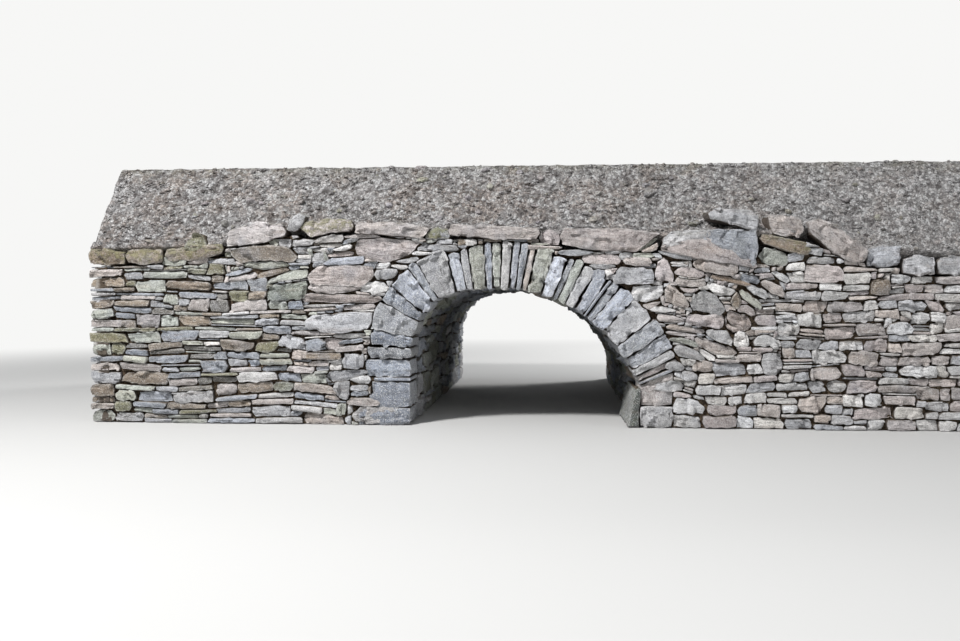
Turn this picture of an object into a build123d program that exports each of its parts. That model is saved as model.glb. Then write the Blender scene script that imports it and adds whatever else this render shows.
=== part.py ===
from build123d import *
import os
from collections import namedtuple
from math import atan2, cos, pi, radians, sin

# A small dry-stone arch bridge that carries a forest track over a stream.
# X runs along the track, Y across it, Z up from the stream bed. All sizes are millimetres.
# The near face is the downstream one, at -Y. The arch is lopsided: its left haunch is steep
# and its right haunch flat, so two tangent arcs make the line of its soffit.

# The whole bridge
left_reach = 3900         # from the middle to the end of the left walls
right_reach = 3900        # from the middle to the end of the right walls
overall_width = 4800      # over the two faces
wall_thickness = 450      # of the face walls, and the depth of the ring stones in them
hearting_level = 1500     # top of the rubble packed between the walls

# The track and the earth shoulders beside it
road_level = 2400
road_camber = 30          # how far the edges of the track lie below its middle
rut_spacing = 1440        # from the middle of one wheel rut to the middle of the other
rut_width = 420
rut_depth = 40
shoulder_run = 650        # from a face back to the edge of the track
shoulder_setback = 20     # from a face back to the toe of the shoulder
shoulder_toe = 1450       # height of the toe, where no cap stands above it
shoulder_footing = 200    # how far the earth of the shoulder reaches down behind low caps

# The arch
left_jamb_x = -1000
clear_span = 1990
crown_x = -260
crown_z = 1211
right_springing_z = 371
left_upright = 86         # the ring's first stones stand on an upright stretch of jamb
barrel_thickness = 400
open_joint = 0.5          # between neighbouring stones that share a node
coping_bed = 15           # least packing between the ring and the caps above it
ring_unevenness = 24      # the most that a ring stone stands proud of the face
right_haunch_slope = 56   # degrees from level at which the ring's right haunch begins

# Stones of the ring from its left foot to its right one: thickness at the soffit, length up the face
RingStone = namedtuple("RingStone", "thickness length")
ring_stones = [
    RingStone(103, 380), RingStone(88, 357), RingStone(152, 390), RingStone(86, 369),
    RingStone(130, 373), RingStone(54, 396), RingStone(174, 397), RingStone(86, 344),
    RingStone(63, 353), RingStone(109, 372), RingStone(60, 389), RingStone(63, 389),
    RingStone(73, 400), RingStone(59, 402), RingStone(54, 405), RingStone(53, 377),
    RingStone(118, 404), RingStone(104, 359), RingStone(50, 381), RingStone(70, 405),
    RingStone(87, 381), RingStone(99, 372), RingStone(32, 372), RingStone(63, 389),
    RingStone(129, 398), RingStone(127, 381), RingStone(47, 385), RingStone(125, 397),
    RingStone(111, 397), RingStone(66, 372), RingStone(50, 372), RingStone(33, 300),
]

# Stones of the jambs below the ring, from the stream bed up
JambStone = namedtuple("JambStone", "height length")
left_jamb_stones = [JambStone(150, 460), JambStone(235, 350), JambStone(35, 330), JambStone(160, 400)]
right_footing_course = 190
footing_slab_foot = 110   # the slab that leans on the right jamb: its thickness at the foot
footing_slab_top = 35     # and at the top
footing_slab_height = 330
footing_slab_reach = 900  # how far it runs in under the arch

# The face walls are split into a wing and a spandrel each side of the arch
left_wing_from = 1740     # from the crown to where each wing begins
right_wing_from = 2225

# Caps on the walls, from left to right. Their ends are measured from the crown and their heights
# from the coping level. Those of a wing share out its length as listed.
Cap = namedtuple("Cap", "left right under_left under_right top_left top_right overhang")
near_caps = {
    "near_left_end_caps": [Cap(-3640, -3300, -230, -225, -75, -80, 30),
                           Cap(-3290, -2950, -225, -220, -80, -65, 40),
                           Cap(-2940, -2400, -220, -145, -65, -30, 25)],
    "near_left_leaning_cap": [Cap(-2390, -1740, -85, 45, 85, 190, 50)],
    "near_left_outer_cap": [Cap(-1720, -1240, 5, 15, 155, 155, 35)],
    "near_left_inner_cap": [Cap(-1230, -620, 15, 15, 145, 145, 45)],
    "near_mossy_cap": [Cap(-610, -400, 0, 0, 115, 115, 20)],
    "near_crown_slab": [Cap(-390, 380, 0, 0, 105, 105, 60)],
    "near_crown_block": [Cap(390, 550, -30, -65, 50, 45, 15)],
    "near_right_inner_cap": [Cap(560, 1440, -95, -130, 75, 65, 40)],
    "near_right_great_cap": [Cap(1450, 2220, -95, -265, 65, 60, 55)],
    "near_right_outer_cap": [Cap(2230, 2610, -155, -135, -15, -15, 30)],
    "near_right_leaning_cap": [Cap(2620, 3110, -35, -225, 155, 45, 50)],
    "near_right_end_caps": [Cap(3120, 3400, -265, -265, -65, -65, 25),
                            Cap(3410, 3680, -335, -335, -155, -155, 35),
                            Cap(3700, 4160, -335, -335, -155, -160, 20)],
}
far_caps = {
    "far_left_caps": [Cap(-3640, -3010, -200, -180, -40, -30, 30),
                      Cap(-3000, -2360, -150, -110, 0, 25, 45),
                      Cap(-2350, -1740, -60, -10, 90, 115, 35),
                      Cap(-1725, -1130, 0, 10, 135, 130, 45),
                      Cap(-1120, -560, 0, 0, 120, 120, 50)],
    "far_crown_slab": [Cap(-550, 470, 0, 0, 110, 110, 60)],
    "far_right_caps": [Cap(480, 1310, -65, -90, 85, 75, 40),
                       Cap(1320, 2215, -90, -150, 70, 30, 55),
                       Cap(2230, 2950, -160, -200, 0, -30, 30),
                       Cap(2960, 3560, -210, -260, -50, -90, 45),
                       Cap(3570, 4160, -270, -330, -110, -150, 25)],
}
# Second stones on the near caps: the cap that carries each, then its ends, top and overhang
near_upper_caps = [
    ("near_right_great_cap", 1830, 2210, 235, 245, 30),
    ("near_right_outer_cap", 2290, 2600, 175, 180, 20),
]

# Values worked out from the sizes above
half_width = overall_width / 2
inner_face = half_width - wall_thickness
track_half = half_width - shoulder_run
right_jamb_x = left_jamb_x + clear_span
ring_foot_z = sum(stone.height for stone in left_jamb_stones)
left_springing_z = ring_foot_z + left_upright
coping_level = crown_z + max(stone.length for stone in ring_stones) + coping_bed

# The crown arc is level at the crown and passes through the right springing. The haunch arc is
# upright at the left springing and meets the crown arc without a kink.
right_half = right_jamb_x - crown_x
right_rise = crown_z - right_springing_z
crown_radius = (right_half**2 + right_rise**2) / (2 * right_rise)
left_half = crown_x - left_jamb_x
left_rise = crown_z - left_springing_z
haunch_reach = left_half**2 + left_rise**2 - 2 * crown_radius * left_rise
haunch_radius = haunch_reach / (2 * (left_half - crown_radius))
crown_centre = Vector(crown_x, crown_z - crown_radius)
haunch_centre = Vector(left_jamb_x + haunch_radius, left_springing_z)
between_centres = haunch_centre - crown_centre
tangent_angle = atan2(between_centres.Y, between_centres.X)
right_angle = atan2(right_springing_z - crown_centre.Y, right_half)
haunch_end = left_upright + haunch_radius * (pi - tangent_angle)
soffit_end = haunch_end + crown_radius * (tangent_angle - right_angle)
right_haunch_start = haunch_end + crown_radius * (tangent_angle - radians(right_haunch_slope))


# Points and lines in the X-Z plane
def into_stone(distance, depth=0):
    """The point depth behind the soffit line, a distance along it from the ring's left foot."""
    if distance < left_upright:
        return Vector(left_jamb_x - depth, ring_foot_z + distance)
    if distance < haunch_end:
        centre, radius = haunch_centre, haunch_radius
        angle = pi - (distance - left_upright) / haunch_radius
    else:
        centre, radius = crown_centre, crown_radius
        angle = tangent_angle - (distance - haunch_end) / crown_radius
    return centre + Vector(cos(angle), sin(angle)) * (radius + depth)


def soffit_curve(start, end, depth):
    """The soffit line between two distances along it, or its parallel at a depth into the stone."""
    stops = [start] + [stop for stop in (left_upright, haunch_end) if start < stop < end] + [end]
    pieces = []
    for a, b in zip(stops, stops[1:]):
        if b <= left_upright:
            pieces.append(Line(into_stone(a, depth), into_stone(b, depth)))
        else:
            pieces.append(ThreePointArc(*(into_stone(s, depth) for s in (a, (a + b) / 2, b))))
    return pieces


def area(*points):
    """The flat region inside a closed line of points (x, z). A repeated point counts once."""
    corners = [Vector(*point) for point in points]
    corners = [b for a, b in zip(corners[-1:] + corners, corners) if (b - a).length > open_joint / 10]
    return make_face(Polyline(*corners, close=True))


def block(x_from, x_to, z_from, z_to):
    return area((x_from, z_from), (x_to, z_from), (x_to, z_to), (x_from, z_to))


def across(section, y_from, y_to):
    """Run a section in the X-Z plane across the bridge from y_from to y_to."""
    plane = Plane(origin=(0, y_from, 0), x_dir=(1, 0, 0), z_dir=(0, -1, 0))
    return extrude(plane * section, y_to - y_from, dir=(0, 1, 0))


def in_wall(section, side, proud=0):
    """Run a section through a face wall: side is -1 for the near wall and 1 for the far one."""
    return across(section, *sorted((side * (half_width + proud), side * inner_face)))


def between_walls(section):
    return across(section, -inner_face, inner_face)


def along(profile):
    """Run a profile in the Y-Z plane along the bridge, from end to end."""
    plane = Plane(origin=(-left_reach, 0, 0), x_dir=(0, 1, 0), z_dir=(1, 0, 0))
    return extrude(plane * profile, left_reach + right_reach, dir=(1, 0, 0))


# The ring: wedges whose joints are square to the soffit
ring_joints = [0]
for stone in ring_stones:
    share = stone.thickness / sum(other.thickness for other in ring_stones)
    ring_joints.append(ring_joints[-1] + share * soffit_end)
ring_bounds = list(zip(ring_joints, ring_joints[1:]))
first_crown_stone = sum(1 for a, b in ring_bounds if (a + b) / 2 < haunch_end)
first_right_stone = sum(1 for a, b in ring_bounds if (a + b) / 2 < right_haunch_start)
ring_parts = {
    "left_haunch": range(first_crown_stone),
    "crown": range(first_crown_stone, first_right_stone),
    "right_haunch": range(first_right_stone, len(ring_stones)),
}


def trimmed(start, end):
    """The two ends of a stone's edge, each drawn back by half an open joint."""
    back = (end - start).normalized() * (open_joint / 2)
    return start + back, end - back


def ring_stone(number, side):
    a, b = ring_bounds[number]
    length = ring_stones[number].length
    soffit_edge = trimmed(into_stone(a), into_stone(b))
    outer_edge = trimmed(into_stone(b, length), into_stone(a, length))
    proud = ring_unevenness * (number * 7 % 5) / 4
    return in_wall(area(*soffit_edge, *outer_edge), side, proud)


def ring_outline(bed=0):
    """The region that the ring and the passage take out of a face wall, with a bed round the ring."""
    outer_ends = [into_stone(end, stone.length + bed)
                  for ends, stone in zip(ring_bounds, ring_stones) for end in ends]
    return area((left_jamb_x, 0), (left_jamb_x, ring_foot_z), *outer_ends,
                (right_jamb_x, right_springing_z), (right_jamb_x, 0))


# Jambs, abutments and the vault behind the ring
def left_jamb_blocks(joint):
    """The stones of the left jamb, each with an open joint above it."""
    level = 0
    for stone in left_jamb_stones:
        yield block(left_jamb_x - stone.length, left_jamb_x, level, level + stone.height - joint)
        level += stone.height


def right_jamb_outline(depth):
    """Below the right springing: its top is the last joint of the arch, depth long."""
    skew = into_stone(soffit_end, depth)
    return area((right_jamb_x, 0), (right_jamb_x, right_springing_z), (skew.X, skew.Y), (skew.X, 0))


def right_jamb_blocks():
    """A footing stone, and on it the skewback stone that the ring's right foot bears on."""
    outline = right_jamb_outline(ring_stones[-1].length)
    yield outline & block(right_jamb_x, right_reach, 0, right_footing_course - open_joint)
    yield outline & block(right_jamb_x, right_reach, right_footing_course, coping_level)


def vault_section(start, end):
    """A slice of the vault between two distances along the soffit."""
    joints = [Line(into_stone(stop), into_stone(stop, barrel_thickness)) for stop in (start, end)]
    return make_face(soffit_curve(start, end, 0) + soffit_curve(start, end, barrel_thickness) + joints)


vault_sections = {
    "barrel_left_haunch": vault_section(0, ring_joints[first_crown_stone]),
    "barrel_crown": vault_section(ring_joints[first_crown_stone], ring_joints[first_right_stone]),
    "barrel_right_haunch": vault_section(ring_joints[first_right_stone], soffit_end),
    "left_abutment": block(left_jamb_x - barrel_thickness, left_jamb_x, 0, ring_foot_z),
    "right_abutment": right_jamb_outline(barrel_thickness),
}
passage_foot = Polyline((right_jamb_x, right_springing_z), (right_jamb_x, 0),
                        (left_jamb_x, 0), (left_jamb_x, ring_foot_z))
arch_mass = make_face(soffit_curve(0, soffit_end, 0) + [passage_foot])
for section in vault_sections.values():
    arch_mass += section


def footing_slab():
    """A smooth slab that leans on the foot of the right jamb and runs in from the near face."""
    section = area((right_jamb_x, 0), (right_jamb_x - footing_slab_foot, 0),
                   (right_jamb_x - footing_slab_top, footing_slab_height),
                   (right_jamb_x, footing_slab_height))
    return across(section, -half_width, footing_slab_reach - half_width)


# Caps
def in_place(cap, first, last):
    """A listed cap in the bridge's own X and Z. Between first and last the list fills the wall."""
    left_share = (left_reach + crown_x - left_wing_from) / (-first - left_wing_from)
    right_share = (right_reach - crown_x - right_wing_from) / (last - right_wing_from)

    def x_of(end):
        into_left_wing = max(0, -end - left_wing_from)
        into_right_wing = max(0, end - right_wing_from)
        return crown_x + end + into_left_wing * (1 - left_share) + into_right_wing * (right_share - 1)

    heights = (coping_level + height for height in cap[2:6])
    return Cap(x_of(cap.left), x_of(cap.right), *heights, cap.overhang)


def upper_cap(carrier, left, right, top_left, top_right, overhang):
    """A second stone: its underside follows the top of the cap that carries it."""
    slope = (carrier.top_right - carrier.top_left) / (carrier.right - carrier.left)
    under = (carrier.top_left + slope * (end - carrier.left) for end in (left, right))
    return Cap(left, right, *under, top_left, top_right, overhang)


def cap_section(cap):
    """A cap, dressed to the bed round the ring where the two would meet."""
    outline = area((cap.left, cap.under_left), (cap.right, cap.under_right),
                   (cap.right, cap.top_right), (cap.left, cap.top_left))
    return outline - ring_outline(coping_bed)


def wall_to_caps(caps, edge):
    """The region of a wall from the stream bed up to an edge of its caps, "under" or "top"."""
    line = []
    for cap in caps:
        line += [(cap.left, getattr(cap, f"{edge}_left")), (cap.right, getattr(cap, f"{edge}_right"))]
    return area((-left_reach, 0), *line, (right_reach, 0))


# Face walls
wall_bands = {
    "left_wing": (-left_reach, crown_x - left_wing_from),
    "left_spandrel": (crown_x - left_wing_from, crown_x),
    "right_spandrel": (crown_x, crown_x + right_wing_from),
    "right_wing": (crown_x + right_wing_from, right_reach),
}


def wall_sections(caps):
    """The rubble of a face wall round the ring and the jambs, in four stretches."""
    wall = wall_to_caps(caps, "under") + ring_outline(coping_bed)
    wall = wall - ring_outline() - right_jamb_outline(ring_stones[-1].length)
    for jamb_block in left_jamb_blocks(0):
        wall -= jamb_block
    return {name: wall & block(*ends, 0, road_level) for name, ends in wall_bands.items()}


# Hearting and earth
def hearting(x_from, x_to):
    return between_walls(block(x_from, x_to, 0, hearting_level) - arch_mass)


def less_masonry(earth, skylines):
    """Take the vault, and both face walls up to their skylines, out of a body of earth."""
    earth -= between_walls(arch_mass)
    for side, skyline in skylines.items():
        earth -= in_wall(skyline, side, shoulder_run)
    return earth


def road_fill():
    """The fill of the track, with a cambered top and two wheel ruts."""
    edge = road_level - road_camber
    bed = Polyline((-track_half, edge), (-track_half, hearting_level),
                   (track_half, hearting_level), (track_half, edge))
    crest = ThreePointArc((-track_half, edge), (0, road_level), (track_half, edge))
    section = make_face([bed, crest])
    for middle in (-rut_spacing / 2, rut_spacing / 2):
        low, high = road_level - rut_depth, road_level + rut_depth
        section -= area((middle - rut_width / 4, low), (middle + rut_width / 4, low),
                        (middle + rut_width * 3 / 4, high), (middle - rut_width * 3 / 4, high))
    return along(section)


def shoulder(side):
    """The earth that slopes from the edge of the track down to the caps of one wall."""
    edge = side * track_half, road_level - road_camber
    toe = side * (half_width - shoulder_setback), shoulder_toe
    low = hearting_level - shoulder_footing
    return along(area(edge, toe, (toe[0], low), (side * inner_face, low),
                      (side * inner_face, hearting_level), (edge[0], hearting_level)))


# Every named piece, each with its solids
pieces = {}
skylines = {}
for side_name, side, listed in (("near", -1, near_caps), ("far", 1, far_caps)):
    ends = [end for row in listed.values() for cap in row for end in (cap.left, cap.right)]
    cap_rows = {name: [in_place(cap, ends[0], ends[-1]) for cap in row] for name, row in listed.items()}
    all_caps = [cap for row in cap_rows.values() for cap in row]
    skylines[side] = wall_to_caps(all_caps, "top") + ring_outline(coping_bed)
    if side_name == "near":
        second_row = [upper_cap(listed[carrier][0], *sizes) for carrier, *sizes in near_upper_caps]
        cap_rows["near_upper_caps"] = [in_place(cap, ends[0], ends[-1]) for cap in second_row]
        for cap in cap_rows["near_upper_caps"]:
            skylines[side] += cap_section(cap)
    for cap_name, row in cap_rows.items():
        pieces[cap_name] = [in_wall(cap_section(cap), side, cap.overhang) for cap in row]
    for part_name, numbers in ring_parts.items():
        pieces[f"{side_name}_ring_{part_name}"] = [ring_stone(number, side) for number in numbers]
    pieces[f"{side_name}_left_jamb"] = [in_wall(s, side) for s in left_jamb_blocks(open_joint)]
    pieces[f"{side_name}_right_jamb"] = [in_wall(s, side) for s in right_jamb_blocks()]
    for wall_name, section in wall_sections(all_caps).items():
        pieces[f"{side_name}_{wall_name}"] = [in_wall(section, side)]

for vault_name, section in vault_sections.items():
    pieces[vault_name] = [between_walls(section)]
pieces["right_footing_slab"] = [footing_slab()]
pieces["left_hearting"] = [hearting(-left_reach, crown_x)]
pieces["right_hearting"] = [hearting(crown_x, right_reach)]
pieces["road_fill"] = [less_masonry(road_fill(), skylines)]
pieces["near_shoulder"] = [less_masonry(shoulder(-1), skylines)]
pieces["far_shoulder"] = [less_masonry(shoulder(1), skylines)]

os.makedirs("parts", exist_ok=True)
for name, shapes in pieces.items():
    solids = [solid for shape in shapes for solid in shape.solids()]
    export_step(Compound(solids), f"parts/{name}.step")
print(len(pieces), "pieces, soffit", round(soffit_end), "mm long, crown radius", round(crown_radius))
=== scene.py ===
# %% [markdown]
# # A dry-laid stone arch bridge
# A farm track runs over a small arch of rough sandstone. The voussoirs of the ring stand on edge, the face
# walls are rubble laid without mortar, big capstones lie along the top, and earth is heaped behind and
# above them. The CAD model holds the true sizes. Here it gets its single stones, its soil and its colours.
# We start by loading it and keeping its box.

import math
from collections import namedtuple
from types import SimpleNamespace

import bpy
import numpy as np
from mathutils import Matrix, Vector, noise


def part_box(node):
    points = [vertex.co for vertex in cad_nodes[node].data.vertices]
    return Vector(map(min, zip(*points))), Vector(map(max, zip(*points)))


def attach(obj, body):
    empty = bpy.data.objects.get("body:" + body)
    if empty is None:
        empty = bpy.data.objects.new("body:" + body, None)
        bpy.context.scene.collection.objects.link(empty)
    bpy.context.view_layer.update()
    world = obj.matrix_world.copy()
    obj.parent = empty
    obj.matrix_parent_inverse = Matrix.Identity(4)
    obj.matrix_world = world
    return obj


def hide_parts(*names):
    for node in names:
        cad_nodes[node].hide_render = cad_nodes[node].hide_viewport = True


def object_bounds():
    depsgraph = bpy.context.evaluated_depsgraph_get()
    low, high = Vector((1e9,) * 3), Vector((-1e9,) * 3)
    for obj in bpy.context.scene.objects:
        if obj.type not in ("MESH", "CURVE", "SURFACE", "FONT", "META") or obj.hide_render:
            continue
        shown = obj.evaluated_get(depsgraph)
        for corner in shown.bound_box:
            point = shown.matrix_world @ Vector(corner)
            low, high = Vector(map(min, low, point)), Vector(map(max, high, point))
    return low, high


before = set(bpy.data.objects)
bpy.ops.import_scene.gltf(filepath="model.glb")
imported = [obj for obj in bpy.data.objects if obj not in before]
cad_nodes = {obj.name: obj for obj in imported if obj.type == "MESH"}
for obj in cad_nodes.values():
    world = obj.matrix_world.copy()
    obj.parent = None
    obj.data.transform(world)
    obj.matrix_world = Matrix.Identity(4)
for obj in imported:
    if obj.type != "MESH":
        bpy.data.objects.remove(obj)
cad_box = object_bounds()
print("CAD box", cad_box, "with", len(cad_nodes), "nodes")

# %% [markdown]
# ## Camera
# The eye is low, about ten metres off and a little right of the arch, and looks slightly left and down. A
# lens of 34 mm on a 36 mm wide sensor gives the same field of view.

# %% Place the camera
looking_down = 1.49
looking_left = 4.42


def show(name, data):
    """Put data into the scene as an object."""
    shown = bpy.data.objects.new(name, data)
    bpy.context.collection.objects.link(shown)
    return shown


camera_data = bpy.data.cameras.new("low_eye")
camera_data.sensor_width = 36
camera_data.lens = 33.94
camera = show("low_eye", camera_data)
camera.location = (0.216, -10.23, 1.125)
camera.rotation_euler = (math.radians(90 - looking_down), 0, math.radians(looking_left))
bpy.context.scene.camera = camera
print("camera at", tuple(camera.location))

# %% [markdown]
# ## Light
# One strong lamp stands high on the left and casts shadows with soft edges, as the sun behind thin cloud
# would. A wide and weak one fills from the right, and a third looks after the back.

# %% Lamps
def soft_lamp(name, place, target, size, power):
    lamp_data = bpy.data.lights.new(name, "AREA")
    lamp_data.size = size
    lamp_data.energy = power
    lamp = show(name, lamp_data)
    lamp.location = place
    lamp.rotation_euler = (Vector(target) - Vector(place)).to_track_quat("-Z", "Y").to_euler()


near_middle, far_middle = (0, -2, 0.9), (0, 2, 0.9)
soft_lamp("left_key", (-5.2, -8.6, 9.6), near_middle, 1.5, 1950)
soft_lamp("right_fill", (8.5, -8.0, 4.0), near_middle, 5.0, 140)
soft_lamp("back_key", (6.0, 10.0, 8.0), far_middle, 3.0, 1250)
bpy.context.scene.view_settings.view_transform = "Standard"
print("lamps", [o.name for o in bpy.data.objects if o.type == "LIGHT"])

# %% [markdown]
# ## Node sums written as Python
# Both shaders and Geometry Nodes are full of small sums. A Wire wraps one output socket, and its operators
# add the Math or Vector Math node that does the sum.

# %% A wire
class Wire:
    """One output socket that can be added, multiplied and so on."""

    def __init__(self, bench, socket):
        self.bench = bench
        self.socket = socket

    def out(self, name):
        return Wire(self.bench, self.socket.node.outputs[name])

    def sum(self, operation, first, second):
        terms = [first, second]
        if any(isinstance(t, tuple) or isinstance(t, Wire) and t.socket.type == "VECTOR" for t in terms):
            terms = [t if isinstance(t, (tuple, Wire)) else (t, t, t) for t in terms]
            return self.bench.add("ShaderNodeVectorMath", {"operation": operation}, terms)
        return self.bench.add("ShaderNodeMath", {"operation": operation}, terms)

    def __add__(self, other):
        return self.sum("ADD", self, other)

    def __radd__(self, other):
        return self.sum("ADD", other, self)

    def __sub__(self, other):
        return self.sum("SUBTRACT", self, other)

    def __rsub__(self, other):
        return self.sum("SUBTRACT", other, self)

    def __mul__(self, other):
        return self.sum("MULTIPLY", self, other)

    def __rmul__(self, other):
        return self.sum("MULTIPLY", other, self)

    def __truediv__(self, other):
        return self.sum("DIVIDE", self, other)

    def least(self, other):
        return self.sum("MINIMUM", self, other)

    def most(self, other):
        return self.sum("MAXIMUM", self, other)

    def size(self):
        operation = "LENGTH" if self.socket.type == "VECTOR" else "ABSOLUTE"
        kind = "ShaderNodeVectorMath" if self.socket.type == "VECTOR" else "ShaderNodeMath"
        wire = self.bench.add(kind, {"operation": operation}, [self])
        return wire.out("Value")

    def direction(self):
        return self.bench.add("ShaderNodeVectorMath", {"operation": "NORMALIZE"}, [self])

    def dot(self, other):
        wire = self.bench.add("ShaderNodeVectorMath", {"operation": "DOT_PRODUCT"}, [self, other])
        return wire.out("Value")

    def smooth(self, low, high):
        """0 below low, 1 above high, and a soft step between."""
        return self.bench.add("ShaderNodeMapRange", {"interpolation_type": "SMOOTHSTEP"},
                              {"Value": self, "From Min": low, "From Max": high})

    def ledges(self, count):
        """A ramp from 0 to 1 turned into a flight of steps with short risers."""
        scaled = self * count
        whole = self.bench.add("ShaderNodeMath", {"operation": "FLOOR"}, [scaled])
        return (whole + (scaled - whole).smooth(0.36, 0.64)) / count

    def parts(self):
        split = self.bench.add("ShaderNodeSeparateXYZ", {}, [self])
        return [split.out(axis) for axis in "XYZ"]


print("operators ready:", [name for name in dir(Wire) if name in ("__add__", "__rsub__", "__rmul__")])

# %% [markdown]
# A Bench wraps a tree, and its add method makes any other node: first its settings, then the values or
# links of its sockets. The other methods are short names for what is added again and again, such as noise,
# flat chips, attributes, tints, and the end of a finish.

# %% A bench
class Bench:
    """A node tree with one method that adds a node, and short names for what is often added."""

    def __init__(self, tree):
        self.tree = tree

    def add(self, kind, settings=None, inputs=(), output=0):
        node = self.tree.nodes.new(kind)
        for name, value in (settings or {}).items():
            setattr(node, name, value)
        pairs = inputs.items() if isinstance(inputs, dict) else enumerate(inputs)
        for name, value in pairs:
            if isinstance(value, Wire):
                self.tree.links.new(value.socket, node.inputs[name])
            elif value is not None:
                node.inputs[name].default_value = value
        found = node.outputs[output] if node.outputs else None
        return Wire(self, found) if found else node

    def join(self, *terms):
        return self.add("ShaderNodeCombineXYZ", {}, terms)

    def vector(self, colour):
        """The same three numbers as a vector, so that Vector Math takes them."""
        return self.add("ShaderNodeVectorMath", {"operation": "ADD"}, [colour, (0, 0, 0)])

    def speckle(self, place, scale, detail=3, roughness=0.6, shift=None):
        """Soft noise. With a shift of its own, each stone gets another noise."""
        settings = {"noise_dimensions": "4D"} if shift else {}
        return self.add("ShaderNodeTexNoise", settings, {"Vector": place, "W": shift, "Scale": scale,
                                                         "Detail": detail, "Roughness": roughness})

    def cells(self, place, scale):
        return self.add("ShaderNodeTexVoronoi", {}, {"Vector": place, "Scale": scale})

    def chips(self, place, scale):
        """Flat cells, each tilted its own way: how far a place stands out of its cell."""
        cells = self.cells(place, scale)
        tilt = self.vector(cells.out("Color")) - (0.5, 0.5, 0.5)
        return (place - cells.out("Position")).dot(tilt)

    def attribute(self, name, vector=False):
        """What a point carries, for Geometry Nodes."""
        kind = "FLOAT_VECTOR" if vector else "FLOAT"
        return self.add("GeometryNodeInputNamedAttribute", {"data_type": kind}, {"Name": name})

    def store(self, geometry, name, value, domain="POINT"):
        kind = "FLOAT_VECTOR" if value.socket.type == "VECTOR" else "FLOAT"
        return self.add("GeometryNodeStoreNamedAttribute", {"data_type": kind, "domain": domain},
                        {"Geometry": geometry, "Name": name, "Value": value})

    def more(self, value, limit):
        return self.add("FunctionNodeCompare", {"data_type": "FLOAT", "operation": "GREATER_THAN"},
                        {0: value, 1: limit})

    def carried(self, name, output="Fac"):
        """What a point carries, for a shader."""
        return self.add("ShaderNodeAttribute", {"attribute_name": name}, (), output)

    def tint(self, first, second, factor, blend="MIX"):
        inputs = {0: factor, 6: first, 7: second}
        return self.add("ShaderNodeMix", {"data_type": "RGBA", "blend_type": blend}, inputs, 2)

    def surface(self, colour, roughness, specular, height, bump_height):
        """The end of a finish: a bump from the height, the shader and the output."""
        bump = self.add("ShaderNodeBump", {}, {"Strength": 1.0, "Distance": bump_height, "Height": height})
        shader = self.add("ShaderNodeBsdfPrincipled", {}, {"Base Color": colour, "Roughness": roughness,
                                                           "Specular IOR Level": specular, "Normal": bump})
        self.add("ShaderNodeOutputMaterial", {}, {"Surface": shader})


def new_finish(name):
    """An empty material and the bench for its nodes."""
    finish = bpy.data.materials.new(name)
    finish.use_nodes = True
    finish.node_tree.nodes.clear()
    return finish, Bench(finish.node_tree)


def new_tree(name, inputs, output):
    """A bench for a Geometry Nodes tree, and the node that holds its named inputs."""
    tree = bpy.data.node_groups.new(name, "GeometryNodeTree")
    for label, kind in inputs:
        tree.interface.new_socket(label, in_out="INPUT", socket_type="NodeSocket" + kind)
    tree.interface.new_socket(output, in_out="OUTPUT", socket_type="NodeSocketGeometry")
    bench = Bench(tree)
    return bench, bench.add("NodeGroupInput")


print("short names ready:", [name for name in dir(Bench) if not name.startswith("_")])

# %% [markdown]
# ## Studio
# The world gives an even, slightly cool light, and shows as a pale wall where the camera or a shiny
# surface looks straight at it. The floor is a plain grey that keeps the shadow of the bridge, and further
# away it fades into the same pale wall for the camera.

# %% World and floor
wall_white = (0.93, 0.93, 0.92, 1)
world = bpy.data.worlds.new("studio")
bpy.context.scene.world = world
world.use_nodes = True
world.node_tree.nodes.clear()
studio = Bench(world.node_tree)
ray = studio.add("ShaderNodeLightPath")
seen = ray.out("Is Camera Ray").most(ray.out("Is Glossy Ray"))
even_light = studio.add("ShaderNodeBackground", {}, {"Color": (0.90, 0.95, 1.0, 1), "Strength": 0.32})
pale_wall = studio.add("ShaderNodeBackground", {}, {"Color": wall_white, "Strength": 1.0})
both = studio.add("ShaderNodeMixShader", {}, [seen, even_light, pale_wall])
studio.add("ShaderNodeOutputWorld", {}, {"Surface": both})

floor_reach = 40
floor_mesh = bpy.data.meshes.new("studio_floor")
floor_mesh.from_pydata([(x * floor_reach, y * floor_reach, -0.002) for x, y in
                        ((-1, -1), (1, -1), (1, 1), (-1, 1))], [], [(0, 1, 2, 3)])
floor = show("studio_floor", floor_mesh)
floor_finish, ground = new_finish("studio_floor")
near_ground = ground.add("ShaderNodeBsdfPrincipled", {},
                         {"Base Color": (0.52, 0.515, 0.505, 1), "Roughness": 0.9})
far_ground = ground.add("ShaderNodeEmission", {}, {"Color": wall_white})
away = ground.add("ShaderNodeTexCoord").out("Object").size().smooth(6.5, 15.0)
camera_ray = ground.add("ShaderNodeLightPath").out("Is Camera Ray")
ground_mix = ground.add("ShaderNodeMixShader", {}, [away * camera_ray, near_ground, far_ground])
ground.add("ShaderNodeOutputMaterial", {}, {"Surface": ground_mix})
floor_mesh.materials.append(floor_finish)
print("floor", floor_reach * 2, "m wide")

# %% [markdown]
# ## Stone colours
# The stone is a layered sandstone that weathers in several tones. Each stone carries its own colour as an
# attribute, picked from this short list and shifted a little, so one shader can serve a whole wall.

# %% Stone tones
def linear(red, green, blue):
    """A screen colour of 0 to 255 as the linear light that a shader wants."""
    return np.array([(c / 255 / 12.92) if c < 11 else ((c / 255 + 0.055) / 1.055) ** 2.4
                     for c in (red, green, blue)])


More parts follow.
